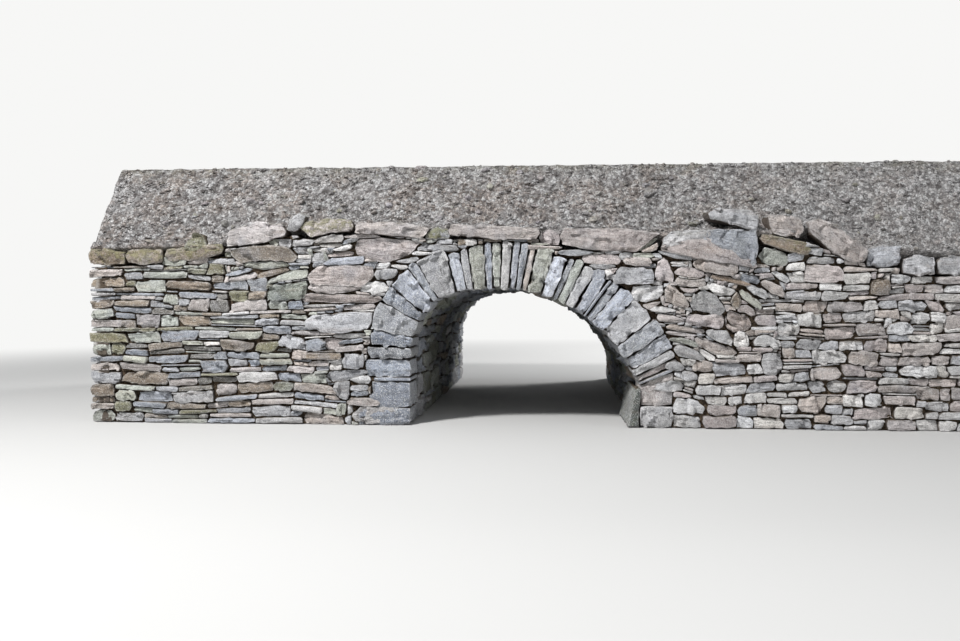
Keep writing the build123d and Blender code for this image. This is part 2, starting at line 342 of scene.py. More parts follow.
TONES = {
    "blue": linear(168, 172, 182),
    "slate": linear(145, 149, 157),
    "olive": linear(168, 170, 161),
    "grey": linear(173, 173, 176),
    "tan": linear(180, 172, 169),
    "buff": linear(184, 174, 168),
    "pink": linear(182, 172, 170),
    "rust": linear(165, 146, 130),
    "brown": linear(140, 128, 115),
    "moss": linear(128, 126, 104),
    "green": linear(136, 139, 128),
    "pale": linear(210, 208, 207),
    "dark": linear(118, 115, 111),
    "steel": linear(135, 141, 153),
    "mauve": linear(165, 157, 156),
    # Painted shade: the dark tone of the footing slab in the passage.
    "wet": linear(86, 90, 86),
}
print(len(TONES), "stone tones")

# %% [markdown]
# ## One stone, many times
# A bridge like this has over two thousand stones, and no two are alike, yet all follow one rule: four
# corners on the wall's face, a depth into the wall, edges worn round, a broken face and a layered grain.
# Modelling them by hand would take weeks. A Geometry Nodes tree places a finely divided cube on each point
# of a plan, and bends that cube to the corners which the point carries as attributes.

# %% Names that a plan carries
Stone = namedtuple("Stone", "corners deep tone wear bulge moss bends open_side")
CORNERS = ("low_left", "low_right", "top_right", "top_left")
BENDS = ("low_bend", "right_bend", "top_bend", "left_bend")
no_bends = ((0, 0, 0),) * 4


def stone(corners, deep, tone, wear, bulge, moss=0.0, bends=no_bends, open_side=(0, 0, 0)):
    """Corners go round the face from low left. They are turned about if that would make it inside out.
    The open side is a direction in which the stone touches no neighbour, so neither joint dirt nor painted
    joint shade gathers there."""
    low_left, low_right, top_right, top_left = (np.array(c, float) for c in corners)
    deep = np.array(deep, float)
    bends = [np.array(b, float) for b in bends]
    if np.dot(np.cross(low_right - low_left, top_left - low_left), deep) < 0:
        low_left, low_right, top_right, top_left = low_right, low_left, top_left, top_right
        bends = [bends[0], bends[3], bends[2], bends[1]]
    return Stone((low_left, low_right, top_right, top_left), deep, tone, wear, bulge, moss, bends, open_side)


print("a plan point carries", CORNERS, "and", BENDS)

# %% [markdown]
# A stone starts as a cube from -1 to 1 with as many cuts as are asked for. Its back is never seen, so the
# points there are merged into one. The cuts bunch towards the edges, where the shape changes most, and
# each point keeps its local place.

# %% A block with its cuts near the edges
def divided_block(bench, given):
    cuts = {"Size": (2, 2, 2)}
    for axis, name in zip("XYZ", ("Cuts Along", "Cuts Up", "Cuts Deep")):
        cuts["Vertices " + axis] = given.out(name)
    cube = bench.add("GeometryNodeMeshCube", {}, cuts)
    even = bench.add("GeometryNodeInputPosition")
    across, up, inward = even.parts()
    in_back = bench.more(inward - across.size().most(up.size()), 0.001)
    gathered = bench.add("GeometryNodeSetPosition", {},
                         {"Geometry": cube, "Selection": in_back, "Position": bench.join(0, 0, 1)})
    cube = bench.add("GeometryNodeMergeByDistance", {}, {"Geometry": gathered, "Selection": in_back})
    bunched = bench.add("ShaderNodeVectorMath", {"operation": "SINE"}, [even * (math.pi / 2)])
    return bench.store(cube, "local", even * 0.5 + bunched * 0.5)


print("ready:", divided_block.__name__)

# %% [markdown]
# Once the copies are real, the local place becomes metres and is pulled in to a box with round edges. The
# radius changes along the stone, and no edge is rounder than the thinnest side allows.

# %% Round edges
def rounded_box(bench, half, edge_radius, number):
    """The place on the box, in metres from its middle, and the direction outward there."""
    place = bench.attribute("local", True) * half
    wobble = bench.speckle(place, 14, 1, 0.5, number)
    half_u, half_v, half_w = half.parts()
    limit = half_u.least(half_v).least(half_w) * 0.85
    radius = edge_radius * bench.attribute("wear") * (wobble * 5.0 - 1.7).most(0.2)
    radius = radius.least(limit)
    inner = place.least(half - radius).most(radius - half)
    outward = (place - inner).direction()
    return inner + outward * radius, outward


print("ready:", rounded_box.__name__)

# %% [markdown]
# The round box is spread over the four corners. A bend moves the middle of an edge, so a stone may have up
# to eight corners, and its face domes a little.

# %% Corners and bends
def spread_over(bench, corners, share, deep):
    """The place in the wall for shares of -1 to 1 along, up and inward, and the depth from 0 to 1."""
    low_left, low_right, top_right, top_left = corners
    low_bend, right_bend, top_bend, left_bend = (bench.attribute(name, True) for name in BENDS)
    u, v, w = share
    s, t, depth = ((part + 1) * 0.5 for part in (u, v, w))
    face = (low_left * ((1 - s) * (1 - t)) + low_right * (s * (1 - t))
            + top_right * (s * t) + top_left * ((1 - s) * t))
    face = face + low_bend * ((1 - u.size()) * (1 - t)) + top_bend * ((1 - u.size()) * t)
    face = face + left_bend * ((1 - v.size()) * (1 - s)) + right_bend * ((1 - v.size()) * s)
    dome = (1 - u * u) * (1 - v * v) * (1 - depth) * bench.attribute("bulge")
    return face + deep * depth - deep.direction() * dome, depth


print("ready:", spread_over.__name__)

# %% [markdown]
# Noise makes the broken relief, tilted cells make flat chips, and a second noise, squeezed along the
# bedding, makes thin ledges. Thin stones are broken less, and so are the sides that lie in the joints.

# %% Broken relief
full_relief_from = 0.055  # half the thickness of the thinnest stone that gets the whole relief


def broken_relief(bench, given, spot, rounded, half, outward, number):
    """How far the broken surface stands out of the smooth one."""
    half_u, half_v, _ = half.parts()
    _, out_v, out_w = outward.parts()
    broken = bench.speckle(spot, 7.5, 3, 0.6, number)
    layers = bench.speckle(rounded * (4.0, 42.0, 9.0), 1, 2, 0.65, number)
    facet = bench.chips(spot + bench.join(number * 3.1, number * 1.3, number * 2.2), 9.5)
    thick = (half_u.least(half_v) / full_relief_from).least(1)
    lift = ((broken - 0.5) * given.out("Relief") * 2 + facet * given.out("Facets")) * thick
    lift = lift + (layers.ledges(6) - 0.5) * given.out("Ledges") * 2 * (1 - out_v.size())
    sideways = 1 - out_w.size()
    return lift * (1 - sideways * (1 - given.out("Side Share")))


print("ready:", broken_relief.__name__)

# %% [markdown]
# The tree puts one block on each point of the plan and shapes it in these steps. Then it stores what the
# shader reads: the place in the bedding, how deep a point lies in the joint, and how near an edge. Where
# two faces meet steeply the edge stays sharp.

# %% The tree that lays stones
# This gain also sets how far into a joint the painted shade reaches.
dirt_and_shade_gain = 26  # to a metre of depth, so the dirt of a joint is complete at 38 mm
arris_width = 0.014
sharp_bend = 0.62  # the angle between two faces, in radians


def stone_laying_tree():
    bench, given = new_tree("lay_stones", (
        ("Plan", "Geometry"), ("Cuts Along", "Int"), ("Cuts Up", "Int"), ("Cuts Deep", "Int"),
        ("Edge Radius", "Float"), ("Relief", "Float"), ("Facets", "Float"), ("Ledges", "Float"),
        ("Side Share", "Float"), ("Finish", "Material")), "Stones")
    copies = bench.add("GeometryNodeInstanceOnPoints", {},
                       {"Points": given.out("Plan"), "Instance": divided_block(bench, given)})
    real = bench.add("GeometryNodeRealizeInstances", {}, {"Geometry": copies})

    corners = [bench.attribute(name, True) for name in CORNERS]
    low_left, low_right, top_right, top_left = corners
    deep = bench.attribute("deep", True)
    number = bench.attribute("number")
    along = (low_right - low_left + top_right - top_left) * 0.25
    upward = (top_left - low_left + top_right - low_right) * 0.25
    half = bench.join(along.size(), upward.size(), deep.size() * 0.5)
    rounded, outward = rounded_box(bench, half, given.out("Edge Radius"), number)
    share = (rounded / half).parts()
    u, v, _ = share
    spot, depth = spread_over(bench, corners, share, deep)
    out_u, out_v, out_w = outward.parts()
    normal = along.direction() * out_u + upward.direction() * out_v + deep.direction() * out_w
    lift = broken_relief(bench, given, spot, rounded, half, outward, number)
    laid = bench.add("GeometryNodeSetPosition", {}, {"Geometry": real, "Position": spot + normal * lift})

    laid = bench.store(laid, "bed", rounded + bench.join(number * 1.7, number * 2.3, number * 3.1))
    openness = normal.dot(bench.attribute("open_side", True)).smooth(0.3, 0.8)
    inset = (depth * deep.size() * dirt_and_shade_gain).least(1) * (1 - openness)
    laid = bench.store(laid, "inset", inset)
    half_u, half_v, _ = half.parts()
    rim = (half_u * (1 - u.size())).least(half_v * (1 - v.size()))
    laid = bench.store(laid, "arris", (1 - rim / arris_width).most(0) * (1 - inset))
    smooth = bench.add("GeometryNodeSetShadeSmooth", {}, {"Geometry": laid})
    bent = bench.add("GeometryNodeInputMeshEdgeAngle").out("Unsigned Angle")
    smooth = bench.add("GeometryNodeSetShadeSmooth", {"domain": "EDGE"},
                       {"Geometry": smooth, "Selection": bench.more(bent, sharp_bend), "Shade Smooth": False})
    finished = bench.add("GeometryNodeSetMaterial", {},
                         {"Geometry": smooth, "Material": given.out("Finish")})
    bench.add("NodeGroupOutput", {}, [finished])
    return bench.tree


laying_tree = stone_laying_tree()
print("stone laying tree with", len(laying_tree.nodes), "nodes")

# %% [markdown]
# Whatever a tree makes of an object is kept as a plain mesh, and the modifier goes. Noise may push a point
# over the CAD box, so such points are pressed back onto its faces.

# %% Keep what a tree made
margin = 0.001


def places_of(mesh):
    """The corner points of a mesh, one in a row."""
    places = np.zeros(len(mesh.vertices) * 3, np.float32)
    mesh.vertices.foreach_get("co", places)
    return places.reshape(-1, 3)


def keep_inside(mesh):
    places = places_of(mesh)
    np.clip(places, np.array(cad_box[0]) + (margin, margin, 0), np.array(cad_box[1]) - margin, out=places)
    mesh.vertices.foreach_set("co", places.ravel())
    mesh.update()


def grown(piece, tree, inputs):
    """The plain mesh that a tree makes of a piece. Its inputs are set by the sockets' identifiers."""
    modifier = piece.modifiers.new("grow", "NODES")
    modifier.node_group = tree
    named = {item.name: item.identifier for item in tree.interface.items_tree}
    for label, value in inputs.items():
        modifier[named[label]] = value
    made = piece.evaluated_get(bpy.context.evaluated_depsgraph_get())
    result = bpy.data.meshes.new_from_object(made)
    piece.modifiers.remove(modifier)
    keep_inside(result)
    return result


print("kept within", cad_box)

# %% [markdown]
# Laying means turning a list of stones into a mesh of bare points and letting the tree work on it. Each
# stone's tone is shifted a little in brightness and warmth, with a seed of its own, so the wall is lively
# and comes out the same on each run. A Break says how a kind of stone is broken, in metres and shares.

# %% Lay a list of stones
Break = namedtuple("Break", "edge_radius relief facets ledges side_share",
                   defaults=(0.009, 0.010, 0.8, 0.009, 0.45))


def lay(name, stones, cuts, finish, broken, seed):
    dice = np.random.default_rng(seed)
    light = 1 + np.clip(dice.normal(0.0, 0.13, (len(stones), 1)), -0.24, 0.24)
    warmth = dice.normal(0.0, 0.018, (len(stones), 1))
    shift = light * (1 + warmth * np.array([[1.0, 0.1, -1.2]]))
    vectors = {key: [s.corners[i] for s in stones] for i, key in enumerate(CORNERS)}
    vectors.update({key: [s.bends[i] for s in stones] for i, key in enumerate(BENDS)})
    vectors.update(deep=[s.deep for s in stones], open_side=[s.open_side for s in stones],
                   tone=np.array([TONES[s.tone] for s in stones]) * shift)
    numbers = {key: [getattr(s, key) for s in stones] for key in ("wear", "bulge", "moss")}
    numbers["number"] = dice.uniform(0, 60, len(stones))

    plan = bpy.data.meshes.new(name)
    plan.vertices.add(len(stones))
    for kind, field, carried in (("FLOAT_VECTOR", "vector", vectors), ("FLOAT", "value", numbers)):
        for key, values in carried.items():
            layer = plan.attributes.new(key, kind, "POINT")
            layer.data.foreach_set(field, np.array(values, np.float32).ravel())
    piece = show(name, plan)
    inputs = dict(zip(("Cuts Along", "Cuts Up", "Cuts Deep"), cuts), Finish=finish)
    inputs.update(zip(("Edge Radius", "Relief", "Facets", "Ledges", "Side Share"), broken))
    result = grown(piece, laying_tree, inputs)
    for key in CORNERS + BENDS + ("deep", "local", "bulge", "open_side", "number"):
        result.attributes.remove(result.attributes[key])
    result.name = name
    piece.data = result
    return piece


pieces = {}


def add_stones(node, found, cuts, finish, seed, broken=Break(), label="_stones"):
    """Lay stones for one CAD node. The seed moves on with each node that has its stones."""
    part = lay(node + label, found, cuts, finish, broken, len(pieces) + seed)
    pieces.setdefault(node, []).append(part)


print("a stone is broken like", Break())

# %% [markdown]
# ## The stone shader
# Each stone's own tone is the base. Fine layers follow the bedding through the "bed" attribute, which is
# the place inside the stone in metres. Noises of several sizes drift over it, and here and there a seam
# between two sheets has split open. Colour and bump share these masks, so they are made once.

# %% Masks of a stone
def stone_masks(bench):
    mask = SimpleNamespace()
    mask.place = bench.add("ShaderNodeTexCoord").out("Object")
    mask.bed = bench.carried("bed", "Vector")
    mask.inset = bench.carried("inset")
    mask.layered = (1.55 - bench.carried("wear")).most(0.25).least(1)
    mask.upward = bench.add("ShaderNodeNewGeometry").out("Normal").parts()[2]
    mask.layers = bench.speckle(mask.bed * (3.5, 34.0, 8.0), 1, 4)
    mask.drift = bench.speckle(mask.place, 5.5, 4)
    mask.blotch = bench.speckle(mask.place, 26, 4, 0.65)
    mask.grain = bench.speckle(mask.place, 95, 3, 0.7)
    mask.specks = bench.speckle(mask.place + (1.2, 6.6, 3.3), 120, 2)
    sheets = bench.speckle(mask.bed * (2.6, 19.0, 5.0), 1)
    seam = 1 - (sheets - 0.5).size().smooth(0.002, 0.014)
    mask.split = seam * mask.drift.smooth(0.47, 0.6) * (1 - mask.inset) * mask.layered
    return mask


print("ready:", stone_masks.__name__)

# %% [markdown]
# White lichen grows in crusts and specks on open faces, and a green coat on what looks up. Rust, green and
# blue stains drift through the stone. Edges are paler, partly from wear and partly as a painted highlight.
# The sides that lie deep in a joint, which "inset" measures, are darkened by painted shade and some joint
# dirt. Each stain is one more tint over the last.

# %% Colour of a stone
Look = namedtuple("Look", "lichen dirt moss rust layers bump")


def lichen_and_moss(bench, mask, look):
    crust = bench.speckle(mask.place + (3.1, 9.4, 2.2), 34, 4, 0.72).smooth(0.575, 0.65)
    patch = bench.speckle(mask.place, 6.0, 2).smooth(0.44, 0.62)
    crust = crust * patch * (1 - mask.inset) * look.lichen
    crust = crust.most((mask.specks - 0.57).smooth(0.0, 0.05) * (1 - mask.inset) * look.lichen)
    mossy = bench.carried("moss")
    pad = bench.speckle(mask.place + (5.0, 2.0, 8.0), 16, 4, 0.7)
    cushion = (pad + mask.upward * 0.22 + mossy * 0.42).smooth(0.66, 0.9)
    return crust, cushion * (mossy * look.moss).least(1)


def stone_colour(bench, mask, look, crust, cushion):
    light = (1 + (mask.layers - 0.5) * look.layers * mask.layered + (mask.grain - 0.5) * 1.0
             + (mask.drift - 0.5) * 1.1 + (mask.blotch - 0.5) * 1.2)
    rusty = bench.speckle(mask.bed * (2.0, 12.0, 3.0), 1.2, 4).smooth(0.54, 0.72)
    greenish = bench.speckle(mask.place + (7.3, 1.1, 4.2), 2.1, 3, 0.55).smooth(0.5, 0.75)
    bluish = bench.speckle(mask.place + (2.3, 5.1, 0.2), 3.4, 3, 0.55).smooth(0.5, 0.7)
    dark_specks = (0.44 - mask.specks).smooth(0.0, 0.05)
    # Painted highlight with some wear: the edges near the face are paler.
    worn_and_lit_edge = bench.carried("arris") * (mask.blotch * 2.4 - 0.6).most(0).least(1)
    # Painted shade with some joint dirt: the sides that lie deep in a joint are darkened.
    joint_shade_and_dirt = (mask.inset + (mask.drift - 0.5) * 0.5).smooth(0.10, 0.75)
    crumbs = mask.upward.smooth(0.6, 0.92) * mask.drift.smooth(0.35, 0.6)
    colour = bench.tint(bench.carried("tone", "Color"), bench.join(light, light, light), 1.0, "MULTIPLY")
    for stain, amount in (((164, 142, 124), rusty * look.rust), ((142, 144, 128), greenish * 0.15),
                          ((150, 154, 165), bluish * 0.3), ((74, 70, 66), dark_specks * 0.4),
                          ((198, 197, 196), worn_and_lit_edge * 0.5), ((208, 208, 206), crust * 0.85),
                          ((104, 103, 62), cushion), ((72, 64, 56), mask.split * 0.6),
                          ((76, 65, 54), joint_shade_and_dirt * look.dirt), ((128, 116, 102), crumbs * 0.5)):
        colour = bench.tint(colour, (*linear(*stain), 1), amount)
    return colour


print("a look is made of", Look._fields)

# %% [markdown]
# The bump takes the layers, the grain, flat chips and small pits. The same finish serves the ring, the
# walls, the caps and the vault, each with its own share of lichen, joint dirt and painted shade, moss, rust
# and layers.

# %% Stone finishes
def stone_finish(name, look):
    finish, bench = new_finish(name)
    mask = stone_masks(bench)
    crust, cushion = lichen_and_moss(bench, mask, look)
    colour = stone_colour(bench, mask, look, crust, cushion)
    facet = bench.chips(mask.bed * (1.0, 1.6, 1.0), 26)
    pits = bench.cells(mask.place, 60)
    height = (mask.layers.ledges(5) * mask.layered * 1.3 + mask.grain * 0.5 + mask.drift * 0.8
              + mask.blotch * 1.1 + facet * 13.0 + pits.least(0.25) * 0.9 + cushion * 0.9 - mask.split * 0.8)
    roughness = 0.93 - crust * 0.08 + (mask.grain - 0.5) * 0.12
    bench.surface(colour, roughness, 0.25, height, look.bump)
    return finish


ring_finish = stone_finish("ring_stone", Look(1.0, 0.85, 0.6, 0.12, 0.8, 0.013))
wall_finish = stone_finish("rubble_stone", Look(0.55, 0.90, 1.0, 0.20, 1.2, 0.016))
cap_finish = stone_finish("cap_stone", Look(0.50, 0.85, 1.0, 0.22, 1.0, 0.014))
vault_finish = stone_finish("vault_stone", Look(0.15, 0.90, 0.9, 0.15, 0.8, 0.013))
print("stone finishes", [m.name for m in bpy.data.materials if "stone" in m.name])

# %% [markdown]
# ## Earth in the joints and on top
# Between the stones one looks into damp earth and small chips. Behind every laid face lies a copy of
# the CAD solid, drawn in by some centimetres, with this finish. Its bump is coarse and its colour a dark
# brown, partly painted shade, so the joints read as deep shadows from any side. The soil on top is the same
# finish, paler, with more pebbles. Its round cells are shaken by noise so that they look broken, and chips
# that would fall off an upright face fade there. The crevices between the cells and the low parts of the
# clods are darkened as painted shade, and towards the right the soil grows paler, partly as drier soil and
# partly as painted light.

# %% Earth finishes
def earth_finish(name, dry, damp, green, pebbles, bump_height):
    finish, bench = new_finish(name)
    place = bench.add("ShaderNodeTexCoord").out("Object")
    broad, clods, lumps, dust = (bench.speckle(place, scale, 4, 0.65) for scale in (1.6, 15, 42, 110))
    shake = bench.vector(bench.speckle(place, 30, 3, 0.65).out("Color")) - (0.5, 0.5, 0.5)
    ragged = place + shake * 0.075
    crumbs, chips = (bench.cells(ragged, scale) for scale in (34, 21))
    grit_tone, chip_tone = (bench.vector(cells.out("Color")).parts()[0] for cells in (crumbs, chips))
    rise = bench.add("ShaderNodeNewGeometry").out("Normal").parts()[2]
    loose = (rise.smooth(0.05, 0.4) * 0.75 + 0.25) * pebbles
    # Paler to the right, partly as drier soil and partly as painted light where the left key lamp falls off.
    drier_and_lit_right = place.parts()[0].smooth(0.4, 3.2) * pebbles
    humus = bench.speckle(place, 3.2, 5).smooth(0.44, 0.60)
    # Painted shade: the crevices between the cells are darkened, and further down so are the low parts of the
    # clods.
    crevice_shade = (crumbs + (lumps - 0.5) * 0.5).smooth(0.42, 0.62)
    worn = (clods * 0.6 + broad * 0.6).smooth(0.5, 0.72)
    track = bench.carried("green") * worn * rise.smooth(0.4, 0.75)
    pebble = (0.2 - chips).smooth(0.0, 0.05) * loose

    mix = broad * 0.3 + clods * 0.5 + lumps * 0.4 + drier_and_lit_right * 0.13
    colour = bench.tint((*damp, 1), (*dry, 1), mix.smooth(0.48, 0.68))
    for shade, amount in ((damp * (1.7, 1.35, 1.05), humus * (0.5 - drier_and_lit_right * 0.3)),
                          (np.minimum(dry * 1.7, 0.85), dust.smooth(0.54, 0.68) * 0.7),
                          (np.minimum(dry * 1.5, 0.8), chip_tone.smooth(0.62, 0.9) * loose * 0.7),
                          (damp * 0.35, (1 - chip_tone).smooth(0.62, 0.95) * loose * 0.55),
                          (np.minimum(dry * 1.7, 0.85), grit_tone.smooth(0.55, 0.9) * loose * 0.75),
                          (damp * 0.3, (1 - grit_tone).smooth(0.6, 0.95) * loose * 0.55),
                          (damp * 0.3, crevice_shade * 0.6),
                          (damp * 0.4, (1 - clods).smooth(0.54, 0.64) * 0.6),
                          (green, track * 0.75), (linear(168, 163, 158), pebble)):
        colour = bench.tint(colour, (*shade, 1), amount)
    height = (clods * 1.3 + lumps * 1.0 + dust * 0.35 - crumbs.least(0.6) * 0.9 + pebble * 0.4
              + (chip_tone + grit_tone * 0.6) * loose * 0.5)
    bench.surface(colour, 0.97, 0.15, height, bump_height)
    return finish


# The dark brown of the joint earth is partly painted shade, so the joints read dark from any side.
shaded_joint_finish = earth_finish("joint_earth", linear(124, 109, 93), linear(70, 60, 50),
                            linear(60, 60, 40), 0.2, 0.02)
soil_finish = earth_finish("shoulder_soil", linear(234, 230, 229), linear(136, 130, 128),
                           linear(138, 138, 116), 0.75, 0.045)
print("earth finishes", shaded_joint_finish.name, soil_finish.name)

# %% [markdown]
# ## Reading the CAD solids
# The ring stones, the jamb stones and some of the caps take their corners from solids of the CAD model. Its
# meshes are loose triangles, so corners that share a place are matched by their rounded coordinates, and
# triangles that share corners are gathered into solids.

# %% Solids of a node
def solids_of(node):
    """The corner points of each separate solid in a CAD node."""
    mesh = cad_nodes[node].data
    points = np.round(places_of(mesh).astype(float), 5)
    parent = {}

    def root(key):
        while parent.setdefault(key, key) != key:
            parent[key] = parent[parent[key]]
            key = parent[key]
        return key

    for polygon in mesh.polygons:
        keys = [tuple(points[i]) for i in polygon.vertices]
        for key in keys[1:]:
            parent[root(key)] = root(keys[0])
    groups = {}
    for key in list(parent):
        groups.setdefault(root(key), []).append(key)
    found = [np.array(sorted(group)) for group in groups.values()]
    return sorted(found, key=lambda group: tuple(group.mean(0)))


def side_of(node):
    """-1 on the near side of the bridge, 1 on the far side."""
    return -1 if node.startswith("near") else 1


def front_corners(points, side, axis_u, axis_v):
    """Four corners of a solid's face on one side of the bridge, from its low left."""
    front = points[points[:, 1] * side > (points[:, 1] * side).max() - 0.03]
    u, v = ((along - along.min()) / np.ptp(along) for along in (front @ axis_u, front @ axis_v))
    return [front[np.argmax(score)] for score in (-u - v, u - v, u + v, v - u)]


ring_solids = {node: solids_of(node) for node in cad_nodes if "_ring_" in node}
print("ring stones", {node: len(found) for node, found in ring_solids.items()})

# %% [markdown]
# ## The soffit line
# The passage is one line in the X-Z plane: up the left jamb, round a tight haunch, over a flatter crown,
# and down the right jamb. Written as a function of the distance along it, it can place the slabs of the
# vault and tell how far a point lies behind the opening.

# %% The passage line
left_jamb_x = -1.0
right_jamb_x = 0.99
left_springing = 0.666
right_springing = 0.371
haunch_centre = np.array([-0.4862, 0.666])
haunch_radius = 0.5138
crown_centre = np.array([-0.26, -0.139])
crown_radius = 1.350
tangent_angle = math.radians(105.7)
right_angle = math.radians(22.2)
haunch_start = left_springing
crown_start = haunch_start + haunch_radius * (math.pi - tangent_angle)
crown_end = crown_start + crown_radius * (tangent_angle - right_angle)
passage_end = crown_end + right_springing


def passage(distance):
    """A point (x, z) of the passage line and the direction into the masonry there."""
    if distance < haunch_start:
        return np.array([left_jamb_x, distance]), np.array([-1.0, 0.0])
    if distance < crown_start:
        angle = math.pi - (distance - haunch_start) / haunch_radius
        outward = np.array([math.cos(angle), math.sin(angle)])
        return haunch_centre + outward * haunch_radius, outward
    if distance < crown_end:
        angle = tangent_angle - (distance - crown_start) / crown_radius
        outward = np.array([math.cos(angle), math.sin(angle)])
        return crown_centre + outward * crown_radius, outward
    return np.array([right_jamb_x, passage_end - distance]), np.array([1.0, 0.0])


def behind_passage(x, z):
    """How far a point lies behind the passage line, and the direction into the masonry."""
    if z < right_springing or (z < left_springing and x < haunch_centre[0]):
        side = -1 if x < 0 else 1
        reach = left_jamb_x if side < 0 else right_jamb_x
        return (x - reach) * side, np.array([side, 0.0])
    centre, radius = crown_centre, crown_radius
    if math.atan2(z - haunch_centre[1], x - haunch_centre[0]) > tangent_angle:
        centre, radius = haunch_centre, haunch_radius
    arm = np.array([x, z]) - centre
    return np.hypot(*arm) - radius, arm / np.hypot(*arm)


print("passage line", round(passage_end, 3), "m long")

# %% [markdown]
# ## The ring
# The voussoirs are long slabs on edge. Their corners come from the CAD solids, so every joint points where
# it should. Some are blue-grey, some olive, and their edges are paler, partly from wear and partly as a
# painted highlight. Each one reaches the full thickness of the wall. Both ends are broken to a blunt point
# and the sides swell a little, because nobody dressed these slabs. Low in the right haunch one big broken
# boulder takes the place of two solids.

# %% Ring stones
wall_depth = 0.45
RING_TONES = {"left_haunch": "slate steel slate steel blue slate grey",
              "crown": "blue grey olive blue olive grey blue slate buff olive blue slate olive grey blue",
              "right_haunch": "blue slate blue grey slate blue grey slate pink grey"}


def ring_stones(node, side):
    dice = np.random.default_rng(len(node))
    tones = RING_TONES[node.split("_ring_")[1]].split()
    solids = list(ring_solids[node])
    if node.endswith("right_haunch"):
        solids[3:5] = [np.vstack(solids[3:5])]
    found = []
    for number, points in enumerate(solids):
        middle = points.mean(0)
        _, outward = behind_passage(middle[0], middle[2])
        lengthwise = np.array([outward[0], 0, outward[1]])
        across = np.array([outward[1], 0, -outward[0]])
        corners = front_corners(points, side, lengthwise, across)
        foot = dice.uniform(-0.014, 0.012, 2)
        corners[0] = corners[0] + lengthwise * foot[0]
        corners[3] = corners[3] + lengthwise * foot[1]
        middle = np.mean(corners, 0)
        gaps, prouds = dice.uniform(0.002, 0.013, 4), dice.uniform(-1, 1, 4)
        for i, (gap, proud) in enumerate(zip(gaps, prouds)):
            off = float(np.dot(corners[i] - middle, across))
            corners[i] = corners[i] - across * np.sign(off) * gap + np.array([0, side * proud * 0.006, 0])
        belly = dice.uniform(0.0, 0.008, 2)
        head = dice.uniform(0.0, 0.028, 2)
        corners[1] = corners[1] - lengthwise * head[0]
        corners[2] = corners[2] - lengthwise * head[1]
        bends = [across * -belly[0], lengthwise * head.mean(), across * belly[1],
                 -lengthwise * dice.uniform(0.0, 0.018)]
        found.append(stone(corners, (0, -side * wall_depth, 0), tones[number % len(tones)],
                           wear=0.8, bulge=0.006, bends=bends, open_side=-lengthwise))
    return found


ring_break = Break(0.008, 0.008, 0.65, 0.005, 0.3)
for node in sorted(ring_solids):
    add_stones(node, ring_stones(node, side_of(node)), (20, 8, 9), ring_finish, 11, ring_break)
print("ring laid:", {node: len(parts[0].data.polygons) for node, parts in pieces.items()})

# %% [markdown]
# ## Jambs and caps
# The stones beside the opening and the capstones are big, so their edges and ledges show most. They are
# laid with the same tree, with more cuts. The great cap right of the crown has split along its bedding, so
# it is laid as three sheets that overlap. The slab above the crown is thin and warm, and the caps at the
# left are green with moss. A row gives the node, the tone and the share of moss, and then eight points in
# centimetres, x and z.

# %% Tones and outlines
CAP_LOOKS = {"near_left_end_caps": ("brown", 0.6), "near_right_end_caps": ("grey", 0.1),
             "far_left_caps": ("tan", 0.2), "far_crown_slab": ("grey", 0.2), "far_right_caps": ("grey", 0.3)}
JAMB_TONES = {"near_left_jamb": ("steel", "slate", "steel"), "near_right_jamb": ("grey", "tan"),
              "far_left_jamb": ("grey", "slate"), "far_right_jamb": ("grey", "tan")}
CAP_OUTLINES = """
near_left_leaning_cap tan 0.2 -262 157 -230 160 -211 166 -209 170 -213 176 -235 179 -258 173 -264 163
near_left_leaning_cap grey 0.2 -208 171 -202 169.5 -199 171 -194 177 -191.5 183 -197 187 -203 183 -208 176
near_left_outer_cap tan 0.7 -187 165 -172 168 -151 170 -149 175 -151 180 -171 181 -192 178 -198 173
near_left_inner_cap tan 0.2 -149 168 -120 166 -90 163.5 -86 167 -82 172 -112 178 -147 177 -149 172
near_mossy_cap grey 0.7 -87 162.5 -76 162 -66 162.5 -65 166 -67 170.5 -75 174 -82 170.5 -86 167
near_crown_slab tan 0.05 -65 166 -26 162 10 162 13 167 10 172 -28 174 -64 176 -67 170
near_crown_block pink 0.1 13 158 22 156 29 157 31 163 28 169 20 171 15 169 12 164
near_right_inner_cap mauve 0.1 32 158 62 151.5 95 150.5 104 158 114 166.5 80 171.5 34 171 30 165
near_right_great_cap grey 0.3 116 153 132 157 152 160 160 166 161 169.3 140 169.6 124 168.5 117 162
near_right_great_cap mauve 0.0 116 151.5 148 144.5 194 136.6 196 138.5 190 145 153 163.5 121 158.5 115 154
near_right_great_cap slate 0.0 150 162 170 152.5 193 137.6 197 153 194 168.5 176 169.6 160 169.6 153 167
near_upper_caps grey 0.0 157 179 176 173.5 194 168 197 177 192 186 176 187.5 160 187 155 184
near_upper_caps tan 0.0 209 166 220 163 231 163 234 171 231 179 218 182 205 181 206 173
near_right_outer_cap brown 0.5 201 158 220 151 238 147.8 240 152 239 158 222 161.5 200 166 198 162
near_right_leaning_cap tan 0.05 240 166 256 151 274 140.6 284 142 286 152 266 168 248 178.5 237.5 176
"""
print(len(CAP_OUTLINES.split("\n")) - 2, "outlines of caps")

# %% [markdown]
# Where only the solid tells the shape, its corners are cut back a little, each by another length, and the
# middles of its edges are bent out again. So a straight block gets eight corners.

# %% Stones from solids
shape_dice = np.random.default_rng(4)
setback = 0.014  # broken stone stands proud of its corners, so they lie behind the solid's face
back_gap = 0.03


